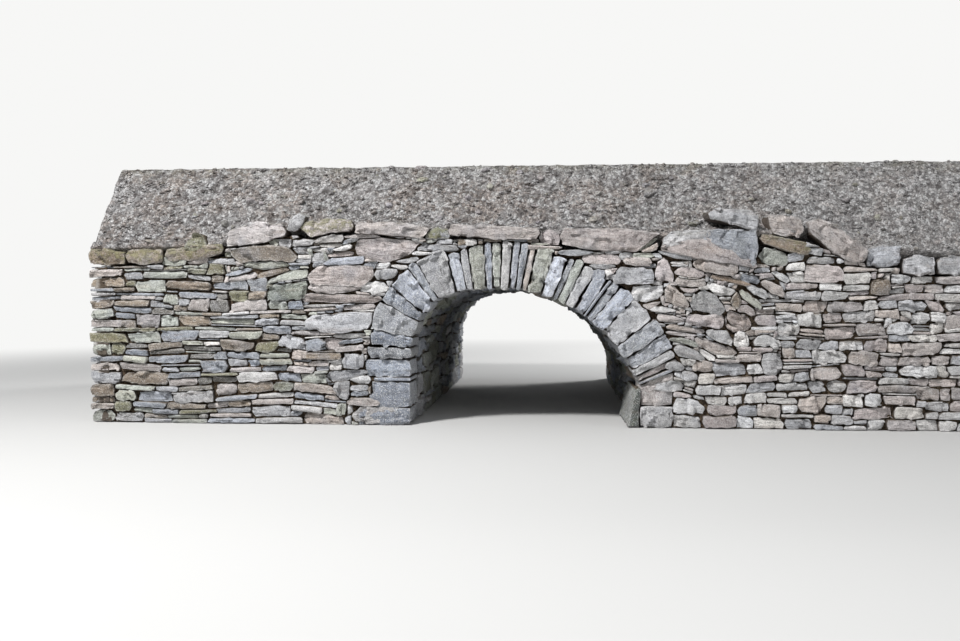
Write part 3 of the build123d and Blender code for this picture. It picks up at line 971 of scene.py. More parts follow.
def solid_stones(node, tones, moss):
    side, jamb = side_of(node), "jamb" in node
    rough = 0.45 if jamb else 1.0
    found = []
    for number, points in enumerate(solids_of(node)):
        corners = front_corners(points, side, np.array([1.0, 0, 0]), np.array([0, 0, 1.0]))
        corners = [corner + np.array([0, -side * setback, 0]) for corner in corners]
        up, along = corners[3] - corners[0], corners[1] - corners[0]
        cut = shape_dice.uniform(0.02, 0.16, 4) * rough
        flat = shape_dice.uniform(0.02, 0.05, 4) * rough
        signs = ((1, 1), (-1, 1), (-1, -1), (1, -1))
        corners = [c + up * z * a + along * x * b for c, (x, z), a, b in zip(corners, signs, cut, flat)]
        bends = [-up * (cut[0] + cut[1]) / 2, along * (flat[1] + flat[2]) / 2,
                 up * (cut[2] + cut[3]) / 2, -along * (flat[3] + flat[0]) / 2]
        inward = (0, -side * (np.ptp(points[:, 1]) - back_gap), 0)
        open_side = (-np.sign(points[:, 0].mean()), 0, 0) if jamb else (0, 0, 1)
        found.append(stone(corners, inward, tones[number % len(tones)], wear=0.9, bulge=0.012, moss=moss,
                           bends=bends, open_side=open_side))
    return found


print("ready:", solid_stones.__name__)

# %% [markdown]
# A listed outline stops at the shadow of the joint, so the stone may grow a little on every side.

# %% Stones from outlines
def outlined_stone(words, front_y, deep, tone, wear, bulge, moss, tilt=(0, 0, 0, 0), grow=0.0):
    """A stone from eight points in centimetres: low left corner, low middle, low right, and so on round."""
    line = np.array([float(word) / 100 for word in words]).reshape(8, 2)
    line = line + np.clip((line - line.mean(0)) * 0.12, -grow, grow)
    spread = [(line[i][0], front_y + t, line[i][1]) for i, t in zip((0, 2, 4, 6), tilt)]
    bends = []
    for i in (1, 3, 5, 7):
        off = line[i] - (line[i - 1] + line[(i + 1) % 8]) / 2
        bends.append((off[0], 0, off[1]))
    return line, stone(spread, (0, deep, 0), tone, wear, bulge, moss, bends)


def outlined_caps():
    found = {}
    for row in CAP_OUTLINES.strip().splitlines():
        node, tone, moss, *words = row.split()
        low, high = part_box(node)
        _, item = outlined_stone(words, low[1] + 0.012, high[1] - low[1] - back_gap, tone, wear=0.7,
                                 bulge=0.012, moss=float(moss))
        found.setdefault(node, []).append(item._replace(open_side=(0, 0, 1)))
    return found


for node, found in outlined_caps().items():
    add_stones(node, found, (28, 12, 8), cap_finish, 31, Break(0.010, 0.010, 0.55, 0.013, 0.4))
for node, (tone, moss) in CAP_LOOKS.items():
    found = solid_stones(node, (tone,), moss)
    add_stones(node, found, (26, 10, 8), cap_finish, 31, Break(0.011, 0.010, 0.6, 0.010))
for node, tones in JAMB_TONES.items():
    found = solid_stones(node, tones, 0.1)
    add_stones(node, found, (18, 10, 14), ring_finish, 51, Break(0.010, 0.010, 0.7, 0.010, 0.35))
print("caps and jambs laid:", sum(len(parts[0].data.polygons) for parts in pieces.values()), "faces so far")

# %% [markdown]
# A smooth worn slab leans on the right foot of the ring, inside the passage. Its dark tone is painted shade.

# %% Footing slab
slab_low, slab_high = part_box("right_footing_slab")
slab_depth = slab_high[1] - slab_low[1]
slab_foot_z = 0.004
slab_lean = 0.035
slab = stone([(slab_low[0], slab_low[1], slab_foot_z), (slab_high[0], slab_low[1], slab_foot_z),
              (slab_high[0], slab_low[1], slab_high[2]),
              (slab_high[0] - slab_lean, slab_low[1], slab_high[2])],
             (0, slab_depth, 0), "wet", wear=1.2, bulge=0.004, moss=0.4, open_side=(-1, 0, 0))
add_stones("right_footing_slab", [slab], (10, 14, 30), ring_finish, 51,
           Break(0.018, 0.014, 0.5, 0.005, 1.0), "_stone")
print("footing slab", round(slab_depth, 2), "m deep")

# %% [markdown]
# ## Finding the open wall face
# The rubble fills whatever the ring and the caps leave of the wall face. To know that area exactly, the
# CAD triangles that lie in a face are drawn on a grid of one centimetre cells, as a mason would chalk
# them on a board. A cell is free while no stone is laid on it.

# %% Chalk board of free cells
face_y = 2.4
end_x = 3.9
cell = 0.01
board_low = np.array([-end_x, 0.0])
board_shape = (200, 780)


def chalk(board, triangle, low, value):
    """Mark the cells whose centres lie in a triangle given in board metres."""
    corners = (np.array(triangle) - low) / cell
    start = np.maximum(np.floor(corners.min(0)).astype(int), 0)
    stop = np.minimum(np.ceil(corners.max(0)).astype(int) + 1, board.shape[::-1])
    if (stop <= start).any():
        return
    x, z = np.meshgrid(np.arange(start[0], stop[0]) + 0.5, np.arange(start[1], stop[1]) + 0.5)
    inside = np.ones(x.shape, bool)
    turn = np.sign(np.cross(corners[1] - corners[0], corners[2] - corners[0]))
    for a, b in zip(corners, np.roll(corners, -1, 0)):
        inside &= turn * ((b[0] - a[0]) * (z - a[1]) - (b[1] - a[1]) * (x - a[0])) >= 0
    board[start[1]:stop[1], start[0]:stop[0]][inside] = value


def face_board(node_names, axis, level, low, shape):
    """The cells covered by the nodes' triangles that lie at one level of an axis."""
    board = np.zeros(shape, bool)
    across = 1 - axis if axis < 2 else 0
    for name in node_names:
        mesh = cad_nodes[name].data
        for polygon in mesh.polygons:
            points = [mesh.vertices[i].co for i in polygon.vertices]
            if all(abs(p[axis] - level) < 0.001 for p in points):
                chalk(board, [(p[across], p[2]) for p in points], low, True)
    return board


near_nodes = ["near_left_wing", "near_left_spandrel", "near_right_spandrel", "near_right_wing"]
far_nodes = [name.replace("near", "far") for name in near_nodes]
near_board = face_board(near_nodes, 1, -face_y, board_low, board_shape)
far_board = face_board(far_nodes, 1, face_y, board_low, board_shape)
print("open face near", round(near_board.sum() * cell**2, 2), "m2, far", round(far_board.sum() * cell**2, 2))

# %% [markdown]
# ## Rubble that the eye can follow
# These are the stones of the near face that can be told apart. A row gives the tone and then eight points
# in centimetres, x and z, in this order: the low left corner, the middle of the bottom, the low right corner
# and so on round. Left of the ring they are long thin slabs, right of it they are short and thick.

# %% Stones laid from the list
RUBBLE = """
brown -250 142 -232 145.5 -204 143 -200 149 -208 155 -232 158 -252 155 -261 151
olive -246 139 -232 136.5 -212 139 -207 140.5 -212 143 -230 144 -244 143 -250 141
brown -235 129 -226 130.5 -212 134 -207 136 -212 138 -224 137 -234 134 -238 131
olive -228 123.5 -212 127 -192 129.5 -190 133 -192 136.5 -207 135.5 -224 129 -229 125
green -226 110 -209 109 -194 112 -191.5 118 -192 127 -209 124.5 -225 121.5 -230 115
slate -263 131 -254 132 -243 135 -241 137 -246 138 -254 136 -262 134 -266 132
tan -260 126 -250 127 -240 129 -236 131.5 -240 134 -250 132 -259 130 -263 128
moss -300 151 -292 150 -284 152 -282 158 -286 167 -293 169 -299 163 -302 156
tan -298 142 -290 141.5 -283 143 -281 146 -283 149 -290 148 -296 145 -301 143
olive -322 141 -312 140 -303 142 -301 146 -304 149.5 -313 150 -321 148 -325 144
grey -183 160 -170 160.3 -161 160.3 -158.5 163.5 -160 167 -170 166.5 -181 164 -186 161.5
pale -178 156.2 -170 155.8 -162 157 -160 158.5 -163 159.6 -172 159.6 -178 159.3 -181 158
pale -166 153 -158 152.8 -153 154.5 -151 157 -153 158.5 -159 156.7 -165 155.3 -168 154
tan -157 164.3 -145 163.9 -130 164.3 -126 165.3 -130 166.5 -142 167.3 -154 167 -159 165.5
pink -172 147.8 -162 147.8 -152 149 -150 150.5 -151 152.3 -160 152.6 -168 151 -174 149
blue -174 140.6 -160 140.6 -143 141.2 -140 144.5 -141 148.2 -155 147.4 -168 146.4 -177 142
mauve -187 124 -165 123 -143 122 -131.5 130 -132.5 138.3 -155 140.3 -181 138.5 -191.5 131
tan -183 117 -170 114.8 -152 117.5 -144 119.5 -144 121.5 -165 122.3 -188 123.3 -191 120
pale -143 117 -132 115.4 -122 117.5 -119 121 -124 125.8 -130 126.2 -138 125.6 -144 121
grey -128 128.8 -122 127 -116 129 -111 133 -112.5 135.4 -121 136.6 -129 136 -130.5 132
pale -130 137.3 -124 137 -119 137.3 -118 139.6 -119 142 -124 142 -129.5 141.6 -131 139.5
pale -114 138 -108 136.2 -103.5 137 -102 138.5 -103.5 140.3 -110 140.8 -115.5 140.6 -117 139.3
grey -110 142.5 -102 141.7 -95 144 -92 145.5 -94 147.3 -102 146.3 -110 144.7 -113 143.3
pale -97 149 -90 148.8 -83 149.4 -80 150.5 -83 151.4 -90 152 -96 152.3 -99 150.5
grey -93 152.8 -78 152.3 -62 152.3 -57 153.6 -60 157 -78 158.2 -88 159.4 -94 155
mauve -147 150 -124 142.3 -106 147.5 -97 153 -92 160 -118 164 -146 162.3 -149.5 156
pink -195 108.5 -165 107 -133 107.4 -125 109.8 -127 112.5 -150 114.3 -188 115.6 -198 112
grey -194 103.3 -182 103 -169 104.3 -162 105.3 -168 106.6 -180 106 -191 105.5 -196 104.4
buff -193 100.3 -183 100.2 -172 101 -164 102 -170 103.3 -182 102.5 -190 102.2 -195 101.3
tan -158 101.3 -145 101.2 -133 102.2 -130.5 104 -133 106.5 -146 105.8 -155 104.8 -160 103
grey -188 84 -162 80.5 -138 84.5 -134 90.5 -133.5 98.8 -160 99.3 -186 95.5 -194.5 90
pale -166 76.6 -152 75.8 -141 78 -138 80 -143 80.8 -155 80.2 -166 79.8 -170 78
pink -173 66.5 -166 66.6 -159 69.5 -157 73 -161 75 -168 76.4 -175 76.8 -178 72
slate -162 70.8 -152 71.7 -143 73 -141.4 75 -144 76.6 -152 75.4 -159 74.2 -164 72
tan -164 64.5 -152 64.8 -143 66 -141.3 68.3 -142.5 70.8 -152 69.8 -160 68.5 -167 65.8
grey -158.5 50.5 -150 49.6 -142 50 -141 56 -141.6 62 -150 63 -158 62.6 -159.3 56
pale -171 48.3 -166 48 -162 48.8 -160.8 52 -161.3 54.6 -166 54.8 -171 54.3 -172 51
brown -191 58 -175 57.5 -163 57.6 -161 60 -162 63.3 -176 63.8 -190 63 -194 60
tan -189 51.5 -181 51.3 -174 51.8 -172.8 53.6 -174 56 -182 56.3 -188 55.5 -191 53.5
grey -169 37.2 -155 39.8 -142 43.7 -137.3 46 -141 48.2 -158 48 -172 46.6 -175 43
pale -151 38.6 -143 36 -137.5 36.4 -135.3 40 -137.5 43 -144 43 -150 41.2 -154 39.7
grey -152 31 -145 30.7 -138.5 31 -137.4 33 -139 35 -145 34.8 -151.5 34.6 -153 33
slate -152 25.6 -145 25.2 -138.5 26 -137 28 -139 30 -145 29.8 -151 29.7 -153 27.5
grey -163 24 -158 21.5 -155.5 23 -154 31 -154.6 37.6 -160 38 -167 36.8 -168 31
tan -154 17 -142 16.3 -130 17 -126 19.5 -130 22 -142 24 -152 24 -157 20
grey -148 3 -138 1 -118 2 -111 9 -116 15 -130 15.5 -144 15.5 -152 9
tan 1 153.5 12 154 28 153.6 32 154.8 28 156 14 156.6 2 157.5 -2 155.5
grey 31 148.8 43 147.5 54 149.2 59 150.6 56 151.8 44 153.2 31 152.3 28 150.6
pale 82 145 87 144.4 91 144.6 92.5 147.5 91 150.5 86 151 82 150 80.5 147.5
olive 93 146 100 145.6 108 146.2 111 147.8 108 149.3 100 149.8 93 149.2 91.5 147.5
olive 96 152 103 153.3 111 160 113 162 111 162.8 104 160.4 97 156.4 94 154
tan 101 151 107 150.8 112 153 113.3 156 112.5 158.6 107 156 102.5 153.4 99.5 152
pink 51 142 65 140.8 79.5 141.3 82 144 79 148.7 65 149.2 51 148.6 48.5 146
tan 86 141 96 139.3 106.5 139 108.5 142 106 145.6 96 146.7 87 146 83.5 143.5
grey 60 137 68 136.4 75 137 78.5 139 74 140.3 66 140.6 58 140.6 55 139.5
blue 57.5 127.5 62 127 66 127.6 68.8 130 69 134.6 63 136.4 58 134.6 56 131
grey 77.5 124.3 92 124 108.5 124.4 110 131 108 136.7 95 137.6 82.5 138 75.5 131
pink 112 126.3 119 125.8 126 126 127.2 130 122.5 140.5 118.5 146 113.3 142 111 134
tan 146 136.3 160 133 176.5 131 181 134 179.5 140.8 162 145.5 150 147 142 141
pale 125 141 130 140.6 135 140.8 136.5 141.9 135 143 130 143.2 126 143 124.2 142
pale 126 138.6 132 138.2 137.5 138.5 139 139.4 137.5 140.3 132 140.4 127 140.2 125 139.4
grey 116 149 128 145.4 141 143.8 142.5 145 140 147.2 128 149.6 117 151.6 113 151.3
pink 128.5 132 139 129.6 150 129 153.6 131 152 134 141 137.6 133.5 138 127.5 134
tan 131 122.3 141 121 151.6 121.4 153.5 123.5 152 127.6 141 126.8 130.5 128.6 128 126
pink 136 117 140 115.4 143 116.3 147.5 118.5 148.5 119.6 140 119.6 132 120.5 133.5 119
rust 160 127.5 172 125 186 122 192.5 122.8 186 126 172 129.7 160 131.3 157.5 129
pale 162 114.4 168 113 174.5 113.3 179.3 118 170.5 120.8 162 123.6 156.5 125.5 154.5 121
pale 92.5 109.3 103 108 113 111.4 119 116 117.5 122.2 105 123.2 93.5 121.6 90.5 115
buff 120 109 128 105.6 138 103.6 139.6 106 135 114 128 120.6 122.5 123 120 116
grey 143.5 101.4 155 99.5 166.5 97 169.5 104 162.5 113.6 152 118 144.5 113.6 140.5 107
brown 176.5 103.4 179 102.3 181.6 104 183.4 108 180.3 115.4 179 116.5 176.5 112 174.5 108
tan 101.5 104.4 106 102 110 103.4 115.5 107 116.5 108.7 110 108.2 104.5 106.7 100.7 106
pale 108.5 100.3 118 99.8 127 100 128.5 101.5 124 102.8 117 104.7 112 104.2 106 101.7
pink 181.5 100 187 98.8 192.5 96.5 196 97.4 193.5 102 188 105.6 182.5 104.6 180.6 102
tan 114.5 92 122 91.3 133 91 136 92.2 132 94.2 125 96.6 114.5 98 113 95
pink 137.5 89.5 152 87.5 168 85.8 170 92 168.6 97.4 155 96.6 140.5 98.4 136.6 93
pink 175.5 89.4 180 85 189.6 83.2 193.5 89 189.6 95.6 181 99 174 101 171.6 95
buff 121.5 85.3 135 83.4 149.6 81.6 153.4 82.8 152 85 138 87 124.5 89 120.6 87
grey 113 88 116 87.2 119 87.4 120 88.6 118.6 89.6 116 90 113 89.8 112 88.9
tan 121.6 81 133 79 143.6 79 148 80.2 143 81 133 83 124.5 83.6 120.6 82.4
pale 156.4 79.7 165 74.6 175 71 176.6 76 173 82.6 164 84.4 155.6 84 154 82
buff 147.5 71.4 160 64.6 175.5 62 181.4 65 176 69.2 162 73 149.5 79 144 76.5
pale 178.5 71.4 184 69.6 188.5 70.6 190.4 75 188.5 80.5 183 82 178.5 81.5 177.6 77
pink 172.5 85.4 177 83 182.5 82.6 183.5 83.6 180.5 85.8 176 87.6 172.6 89.4 171 88
grey 131.5 62.3 142 59.4 151.5 58 154 60 146.5 65.6 138 69.6 130.5 71 127.6 67
pale 152.6 61.2 157 58.4 161.5 58 162.5 61 159.5 63.3 154 66.2 149.5 68.4 148.6 66
olive 124.5 75 136 72.5 145.5 70 147 72 143.5 74.7 134 77.5 126.5 77.5 122.6 76
grey 120.5 51.4 127 49.6 133.5 50 136.5 52 133.5 55.6 128 58 122.5 56.5 119.6 53
olive 184.5 112 191 106.5 198.5 101.5 200.5 103 199.5 107.6 192 112.6 184.5 118.5 181.6 117
pale 189 119 195 114.5 203 110.5 206 113 203 117.5 196 121 190 124.5 187 122
slate 184 126 190 125 197 123.5 199.5 126 197 129.5 190 131 185 132.5 182.5 129
tan 201 121.5 208 116 217 112.5 220 116 216 121.5 208 125 203 127 199.5 125
pale 210 131.5 215 127.5 221 124 223.5 126 221 129.5 216 132.5 212 134.5 208.5 133
olive 201 141 210 138.5 220.5 140 223.5 145 219.5 150 210 153 203.5 153.5 198 148
pale 195 71.5 203 70.4 210.5 72.4 213.4 75 209.5 78.6 203 80 197.5 78.5 194 75
pink 194 66.4 201 65.6 208 66 210 68 208 69.7 201 69.6 195 69.6 193 68
grey 202.5 48.3 209 47 216.5 48.4 218.4 56 215.5 63.6 209 65.4 202.5 63.5 200.6 56
pale 215 80.6 222 79.5 230 80.6 232 85 230 89.6 222 90.6 216 89.5 213.5 85
brown 290 114.5 298 114 305 115 306.5 120 304 126.5 297 127.5 291 126 289 120
pale 304 81.5 314 80.6 323 82 325 86 322 90 313 91.5 306 89.5 303 85
tan 351 85 357 84 362 85.5 363.5 91 361.5 96.5 356 97.5 351 96 349.5 91
grey 112 33 122 31.5 134 32.5 137 36 133 39.5 124 41 114 39 109.5 36
"""
print(RUBBLE.count("\n") - 1, "outlines of rubble")

# %% Lay the outlines on both faces
stone_reach = (0.11, 0.15)  # how far a stone goes into the wall, at least and at most


def hand_laid(side, board, dice):
    """The listed stones on the near or the far face. Their cells are taken off the board."""
    found = []
    for row in RUBBLE.strip().splitlines():
        tone, *words = row.split()
        proud = dice.uniform(-0.014, 0.026)
        tilt = dice.uniform(-0.012, 0.012, 4)
        deep = -side * dice.uniform(*stone_reach)
        line, item = outlined_stone(words, side * (face_y + proud), deep, tone,
                                    wear=dice.uniform(0.6, 1.3), bulge=dice.uniform(0.0, 0.014), moss=0.15,
                                    tilt=tilt, grow=0.004)
        for start, stop in zip(line, np.roll(line, -1, 0)):
            chalk(board, [start, stop, line.mean(0)], board_low, False)
        found.append(item)
    return found


near_hand = hand_laid(-1, near_board, np.random.default_rng(5))
far_hand = hand_laid(1, far_board, np.random.default_rng(6))
print(len(near_hand), "stones laid by hand on each face")

# %% [markdown]
# ## Rubble that only has to be likely
# The rest of the wall is filled the way a waller does it: take the lowest open spot, choose a stone that
# fits it, and go on. A stone grows to the right and upwards until it reaches its chosen size or another
# stone. A Fill says in cells how long and how high a kind of stone is, at least and at most, and how small
# a square is still laid.

# %% Look along the free cells
Fill = namedtuple("Fill", "long high small")
slabby = Fill((14, 46), (4, 13), 3)
chunky = Fill((12, 30), (6, 15), 3)


def reach(line, start, step, limit):
    """How many cells are free from start in one direction."""
    count = 0
    while count < limit and 0 <= start + step * count < len(line) and line[start + step * count]:
        count += 1
    return count


def neighbour_height(board, row, column):
    """How far the stone beside a spot still rises above it, in cells."""
    if not 0 <= column < board.shape[1]:
        return 0
    rising = board[row:row + 40, column]
    return int(np.argmax(rising)) if rising.any() else 0


print("slabs", slabby, "and blocks", chunky)

# %% [markdown]
# A width is changed where the rest of the run would be too short for a stone, or where its end would stand
# on an upright joint of the course below. A height follows the neighbours' where that closes a course. A
# stone stops growing upwards where more than a quarter of its width is taken.

# %% Fill the free cells
def chosen_width(joints, row, column, run, habit, dice):
    wide = int(dice.integers(*habit.long))
    if run - wide < habit.long[0] * 0.6:
        return run if run <= habit.long[1] * 1.15 else run // 2
    if joints[row, column + wide - 2:column + wide + 3].any():
        return wide + 5 if run - wide - 5 > habit.long[0] else max(4, wide - 5)
    return wide


def chosen_height(sides, run, wide, habit, dice):
    tall = int(min(dice.integers(*habit.high), max(3, wide * 0.7)))
    if wide == run and min(sides) >= 2 and min(sides) <= habit.high[1] * 1.3:
        return min(sides)
    if habit.high[0] * 0.7 <= sides[0] <= habit.high[1] and dice.random() < 0.6:
        return sides[0]
    return tall


def fill_board(board, habit, dice):
    """Rectangles that fill the free cells, each as column, row, width and height in cells."""
    board = board.copy()
    joints = np.zeros((board.shape[0] + 1, board.shape[1] + 2), bool)
    found = []
    while board.any():
        row = int(np.argmax(board.any(1)))
        column = int(np.argmax(board[row]))
        run = reach(board[row], column, 1, 90)
        wide = chosen_width(joints, row, column, run, habit, dice)
        sides = [neighbour_height(board, row, column - 1), neighbour_height(board, row, column + run)]
        aim = chosen_height(sides, run, wide, habit, dice)
        tall = 1
        while tall < aim and row + tall < board.shape[0]:
            open_run = reach(board[row + tall], column, 1, wide)
            if open_run < wide * 0.75:
                break
            wide = min(wide, open_run)
            tall += 1
        board[row:row + tall, column:column + wide] = False
        joints[row + tall, [column, column + wide]] = True
        if wide * tall >= habit.small ** 2 and min(wide, tall) >= 2:
            found.append((column, row, wide, tall))
    return found


print("ready:", fill_board.__name__)

# %% [markdown]
# The corners of a stone then reach out to the neighbours, so slanted gaps close as well. In open wall the
# joints wander, because a mason levels only roughly, and ends are broken to a point more often than square.
# The noise that bends them starts from the clock unless it is given a seed, so it gets one.

# %% Loosen the corners
wander = 0.035
noise.seed_set(12)


def loose_corners(board, rect, slack=3):
    """The rectangle's corners, each moved out over cells that nothing covers."""
    column, row, wide, tall = rect
    last, top = column + wide - 1, row + tall - 1
    found = []
    for c, r, dc, dr in ((column, row, -1, -1), (last, row, 1, -1), (last, top, 1, 1), (column, top, -1, 1)):
        side = reach(board[r], c + dc, dc, slack)
        updown = reach(board[:, c], r + dr, dr, slack)
        found.append((c + (dc > 0) + dc * side, r + (dr > 0) + dr * updown))
    return found


def room_around(board, steps=7):
    """For each cell, from 0 to 1, how far it lies from what is already laid."""
    room = np.zeros(board.shape)
    free = board.copy()
    for _ in range(steps):
        room += free / steps
        inner = np.zeros(board.shape, bool)
        inner[1:-1, 1:-1] = (free[1:-1, 1:-1] & free[2:, 1:-1] & free[:-2, 1:-1]
                             & free[1:-1, 2:] & free[1:-1, :-2])
        free = inner
    return room


def warp(x, z, strength):
    """A slow drift and a quicker one, so that courses wave and upright joints lean."""
    slow = noise.noise_vector(Vector((x * 1.5, z * 2.6, 3.7)))
    quick = noise.noise_vector(Vector((x * 4.5, z * 9.0, 8.1)))
    return x + (slow[0] + quick[0] * 1.2) * strength, z + (slow[1] * 1.5 + quick[1] * 0.5) * strength


print("joints wander by about", wander, "m")

# %% [markdown]
# Each rectangle becomes a stone. Its ends are chopped and its long sides shaved at the corners, and the bends
# give back in the middle of an edge what its corners lost. A place function turns metres on the board into
# a point in space and the direction into the masonry, so the same code fills walls, ends and the vault.

# %% Make stones of the cells
def unit(arrow):
    return arrow / (np.linalg.norm(arrow) + 1e-9)


def filled(board, place, habit, tones, dice, moss=0.1, joint=0.004, proud_by=0.020):
    """Stones for all free cells of a board."""
    rects = fill_board(board, habit, dice)
    room = room_around(board)
    open_left = board.copy()
    for column, row, wide, tall in rects:
        open_left[row:row + tall, column:column + wide] = False
    found = []
    for rect in rects:
        corners = loose_corners(open_left, rect)
        middle = np.mean(corners, 0)
        wide, high = rect[2] * cell, rect[3] * cell
        chop = dice.uniform(0, 1, 4) ** 2 * min(high * 0.38, wide * 0.17)
        shave = dice.uniform(0, 0.12, 4) * high
        proud = dice.uniform(-proud_by, proud_by)
        spread, directions = [], []
        for (c, r), end_cut, flat_cut in zip(corners, chop, shave):
            at = room[int(np.clip(r, 0, board.shape[0] - 1)), int(np.clip(c, 0, board.shape[1] - 1))]
            c += np.sign(middle[0] - c) * (joint * dice.uniform(0, 1.2) + end_cut) / cell
            r += np.sign(middle[1] - r) * (joint * dice.uniform(0, 1.2) + flat_cut) / cell
            point, inward = place(*warp(c * cell, r * cell, wander * at))
            spread.append(np.array(point) - np.array(inward) * (proud + dice.uniform(-0.008, 0.008)))
            directions.append(inward)
        up = unit(spread[3] + spread[2] - spread[0] - spread[1])
        along = unit(spread[1] + spread[2] - spread[0] - spread[3])
        bends = [-up * (shave[0] + shave[1]) / 2, along * (chop[1] + chop[2]) / 2,
                 up * (shave[2] + shave[3]) / 2, -along * (chop[3] + chop[0]) / 2]
        deep = np.mean(directions, 0) * dice.uniform(*stone_reach)
        found.append(stone(spread, deep, tones[int(dice.integers(len(tones)))],
                           dice.uniform(0.5, 1.3), dice.uniform(0.0, 0.016), moss, bends))
    return found


print("ready:", filled.__name__)

# %% [markdown]
# Left of the crown the wall is made of long slabs, which get browner and greener towards the end. Right of
# it the stones are thicker and paler.

# %% Fill both faces
crown_x = 0.3
dirty_tones = "brown slate olive tan grey moss slate dark olive".split()
slab_tones = "grey slate tan slate olive grey pale brown buff grey".split()
chunk_tones = "pale pink tan pale grey pale pink grey buff pale".split()


def face_place(side):
    return lambda a, b: ((board_low[0] + a, side * face_y, board_low[1] + b), (0, -side, 0))


def filled_face(board, side, dice):
    turn = int((crown_x - board_low[0]) / cell)
    left, right = board.copy(), board.copy()
    left[:, turn:] = False
    right[:, :turn] = False
    slabs = filled(left, face_place(side), slabby, slab_tones, dice)
    for number, item in enumerate(slabs):
        if dice.uniform(1.7, 2.9) < -np.mean([c[0] for c in item.corners]):
            slabs[number] = item._replace(tone=dirty_tones[int(dice.integers(len(dirty_tones)))])
    return slabs + filled(right, face_place(side), chunky, chunk_tones, dice)


near_fill = filled_face(near_board, -1, np.random.default_rng(21))
far_fill = filled_face(far_board, 1, np.random.default_rng(22))
print(len(near_fill), "stones fill the near face,", len(far_fill), "the far one")

# %% [markdown]
# ## Vault slabs
# Under the arch the masons used flat slabs in courses. Here the board is the passage line rolled out flat:
# along it run the courses, and across it the bridge's depth. The place function rolls each corner back.

# %% Lay the vault
ring_back = 1.95
footing_top = 0.33
footing_end_y = -1.5


def vault_place(a, b):
    (x, z), outward = passage(min(max(b, 0.0), passage_end))
    return (x, a - ring_back, z), (outward[0], 0, outward[1])


vault_board = np.ones((int(passage_end / cell), int(2 * ring_back / cell)), bool)
vault_board[int((passage_end - footing_top) / cell):, :int((ring_back + footing_end_y) / cell)] = False
vault_tones = "slate slate green grey slate olive brown slate".split()
vault_stones = filled(vault_board, vault_place, Fill((26, 72), (8, 22), 3), vault_tones,
                      np.random.default_rng(31), moss=0.3, proud_by=0.012)
print(len(vault_stones), "vault slabs")

# %% [markdown]
# ## Wall ends
# At both ends the bridge is cut off square. The two face walls show their stones there, and between them
# lies the hearting, small stones packed in earth.

# %% Lay the ends
end_shape = (200, 490)
end_low = np.array([-2.45, 0.0])
end_stone_x = 3.862
end_slabs = Fill((14, 40), (6, 14), 3)
packed = Fill((14, 38), (8, 18), 4)


def end_place(side):
    return lambda a, b: ((side * end_stone_x, end_low[0] + a, b), (-side, 0, 0))


end_stones = {}
for side, name in ((-1, "left"), (1, "right")):
    for node, habit, joint, seed in ((f"near_{name}_wing", end_slabs, 0.004, 41),
                                     (f"far_{name}_wing", end_slabs, 0.004, 42),
                                     (f"{name}_hearting", packed, 0.009, 45)):
        board = face_board([node], 0, side * end_x, end_low, end_shape)
        end_stones[node] = filled(board, end_place(side), habit, slab_tones,
                                  np.random.default_rng(seed + side), joint=joint)
print("end stones", {name: len(found) for name, found in end_stones.items()})

# %% [markdown]
# ## Share the stones out
# Each stone goes to the CAD node that its middle lies in, so the parts of the library can still be told
# apart. The side of a stone at a wall end is open.

# %% Find each stone's node
at_end_x = 3.84
left_abutment_top = 0.58
right_haunch_length = 0.55


def opened(item):
    xs = np.array([corner[0] for corner in item.corners])
    return item._replace(open_side=(np.sign(xs[0]), 0, 0)) if np.abs(xs).max() > at_end_x else item


def share_out(found, names, edges, where):
    """Group stones by the nodes between whose edges they lie. where tells the place of a stone."""
    groups = {name: [] for name in names}
    for item in found:
        groups[names[int(np.searchsorted(edges, where(item)))]].append(item)
    return groups


def middle_x(item):
    return np.mean([corner[0] for corner in item.corners])


def along_passage(item, step=0.05):
    """Where along the passage line a stone lies, to the nearest step."""
    middle = np.mean(item.corners, 0)
    gaps = [np.hypot(*(passage(d)[0] - middle[[0, 2]])) for d in np.arange(0, passage_end, step)]
    return step * int(np.argmin(gaps))


near_edges = [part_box(name)[1][0] for name in near_nodes[:-1]]
near_groups = share_out(map(opened, near_hand + near_fill), near_nodes, near_edges, middle_x)
far_groups = share_out(map(opened, far_hand + far_fill), far_nodes, near_edges, middle_x)
vault_nodes = ["left_abutment", "barrel_left_haunch", "barrel_crown", "barrel_right_haunch", "right_abutment"]
vault_edges = [left_abutment_top, crown_start, crown_end - right_haunch_length, crown_end]
vault_groups = share_out(vault_stones, vault_nodes, vault_edges, along_passage)
print("near stones", {name: len(found) for name, found in near_groups.items()})

# %% [markdown]
# The near face gets more cuts than what is seen from further away.

# %% Lay the rubble
for node, found in near_groups.items():
    add_stones(node, found, (14, 8, 4), wall_finish, 61, Break(0.007, 0.010, 0.6, 0.011))
for node, found in far_groups.items():
    add_stones(node, found, (9, 6, 3), wall_finish, 61)
for node, found in end_stones.items():
    if found:
        add_stones(node, found, (7, 5, 3), wall_finish, 61, label="_end_stones")
for node, found in vault_groups.items():
    add_stones(node, found, (9, 5, 3), vault_finish, 61)
faces = sum(len(part.data.polygons) for parts in pieces.values() for part in parts)
print("laid", len(pieces), "pieces with", faces, "faces")

# %% [markdown]
# ## The dark behind the joints
# Each laid solid keeps a core: a copy of its CAD mesh, with every corner on a laid face drawn in behind the
# stones. Corners on the wall faces and the ends move along Y or X, corners on the passage move away from
# it.

# %% Draw in the cores
draw_in = 0.042
end_draw_in = 0.09


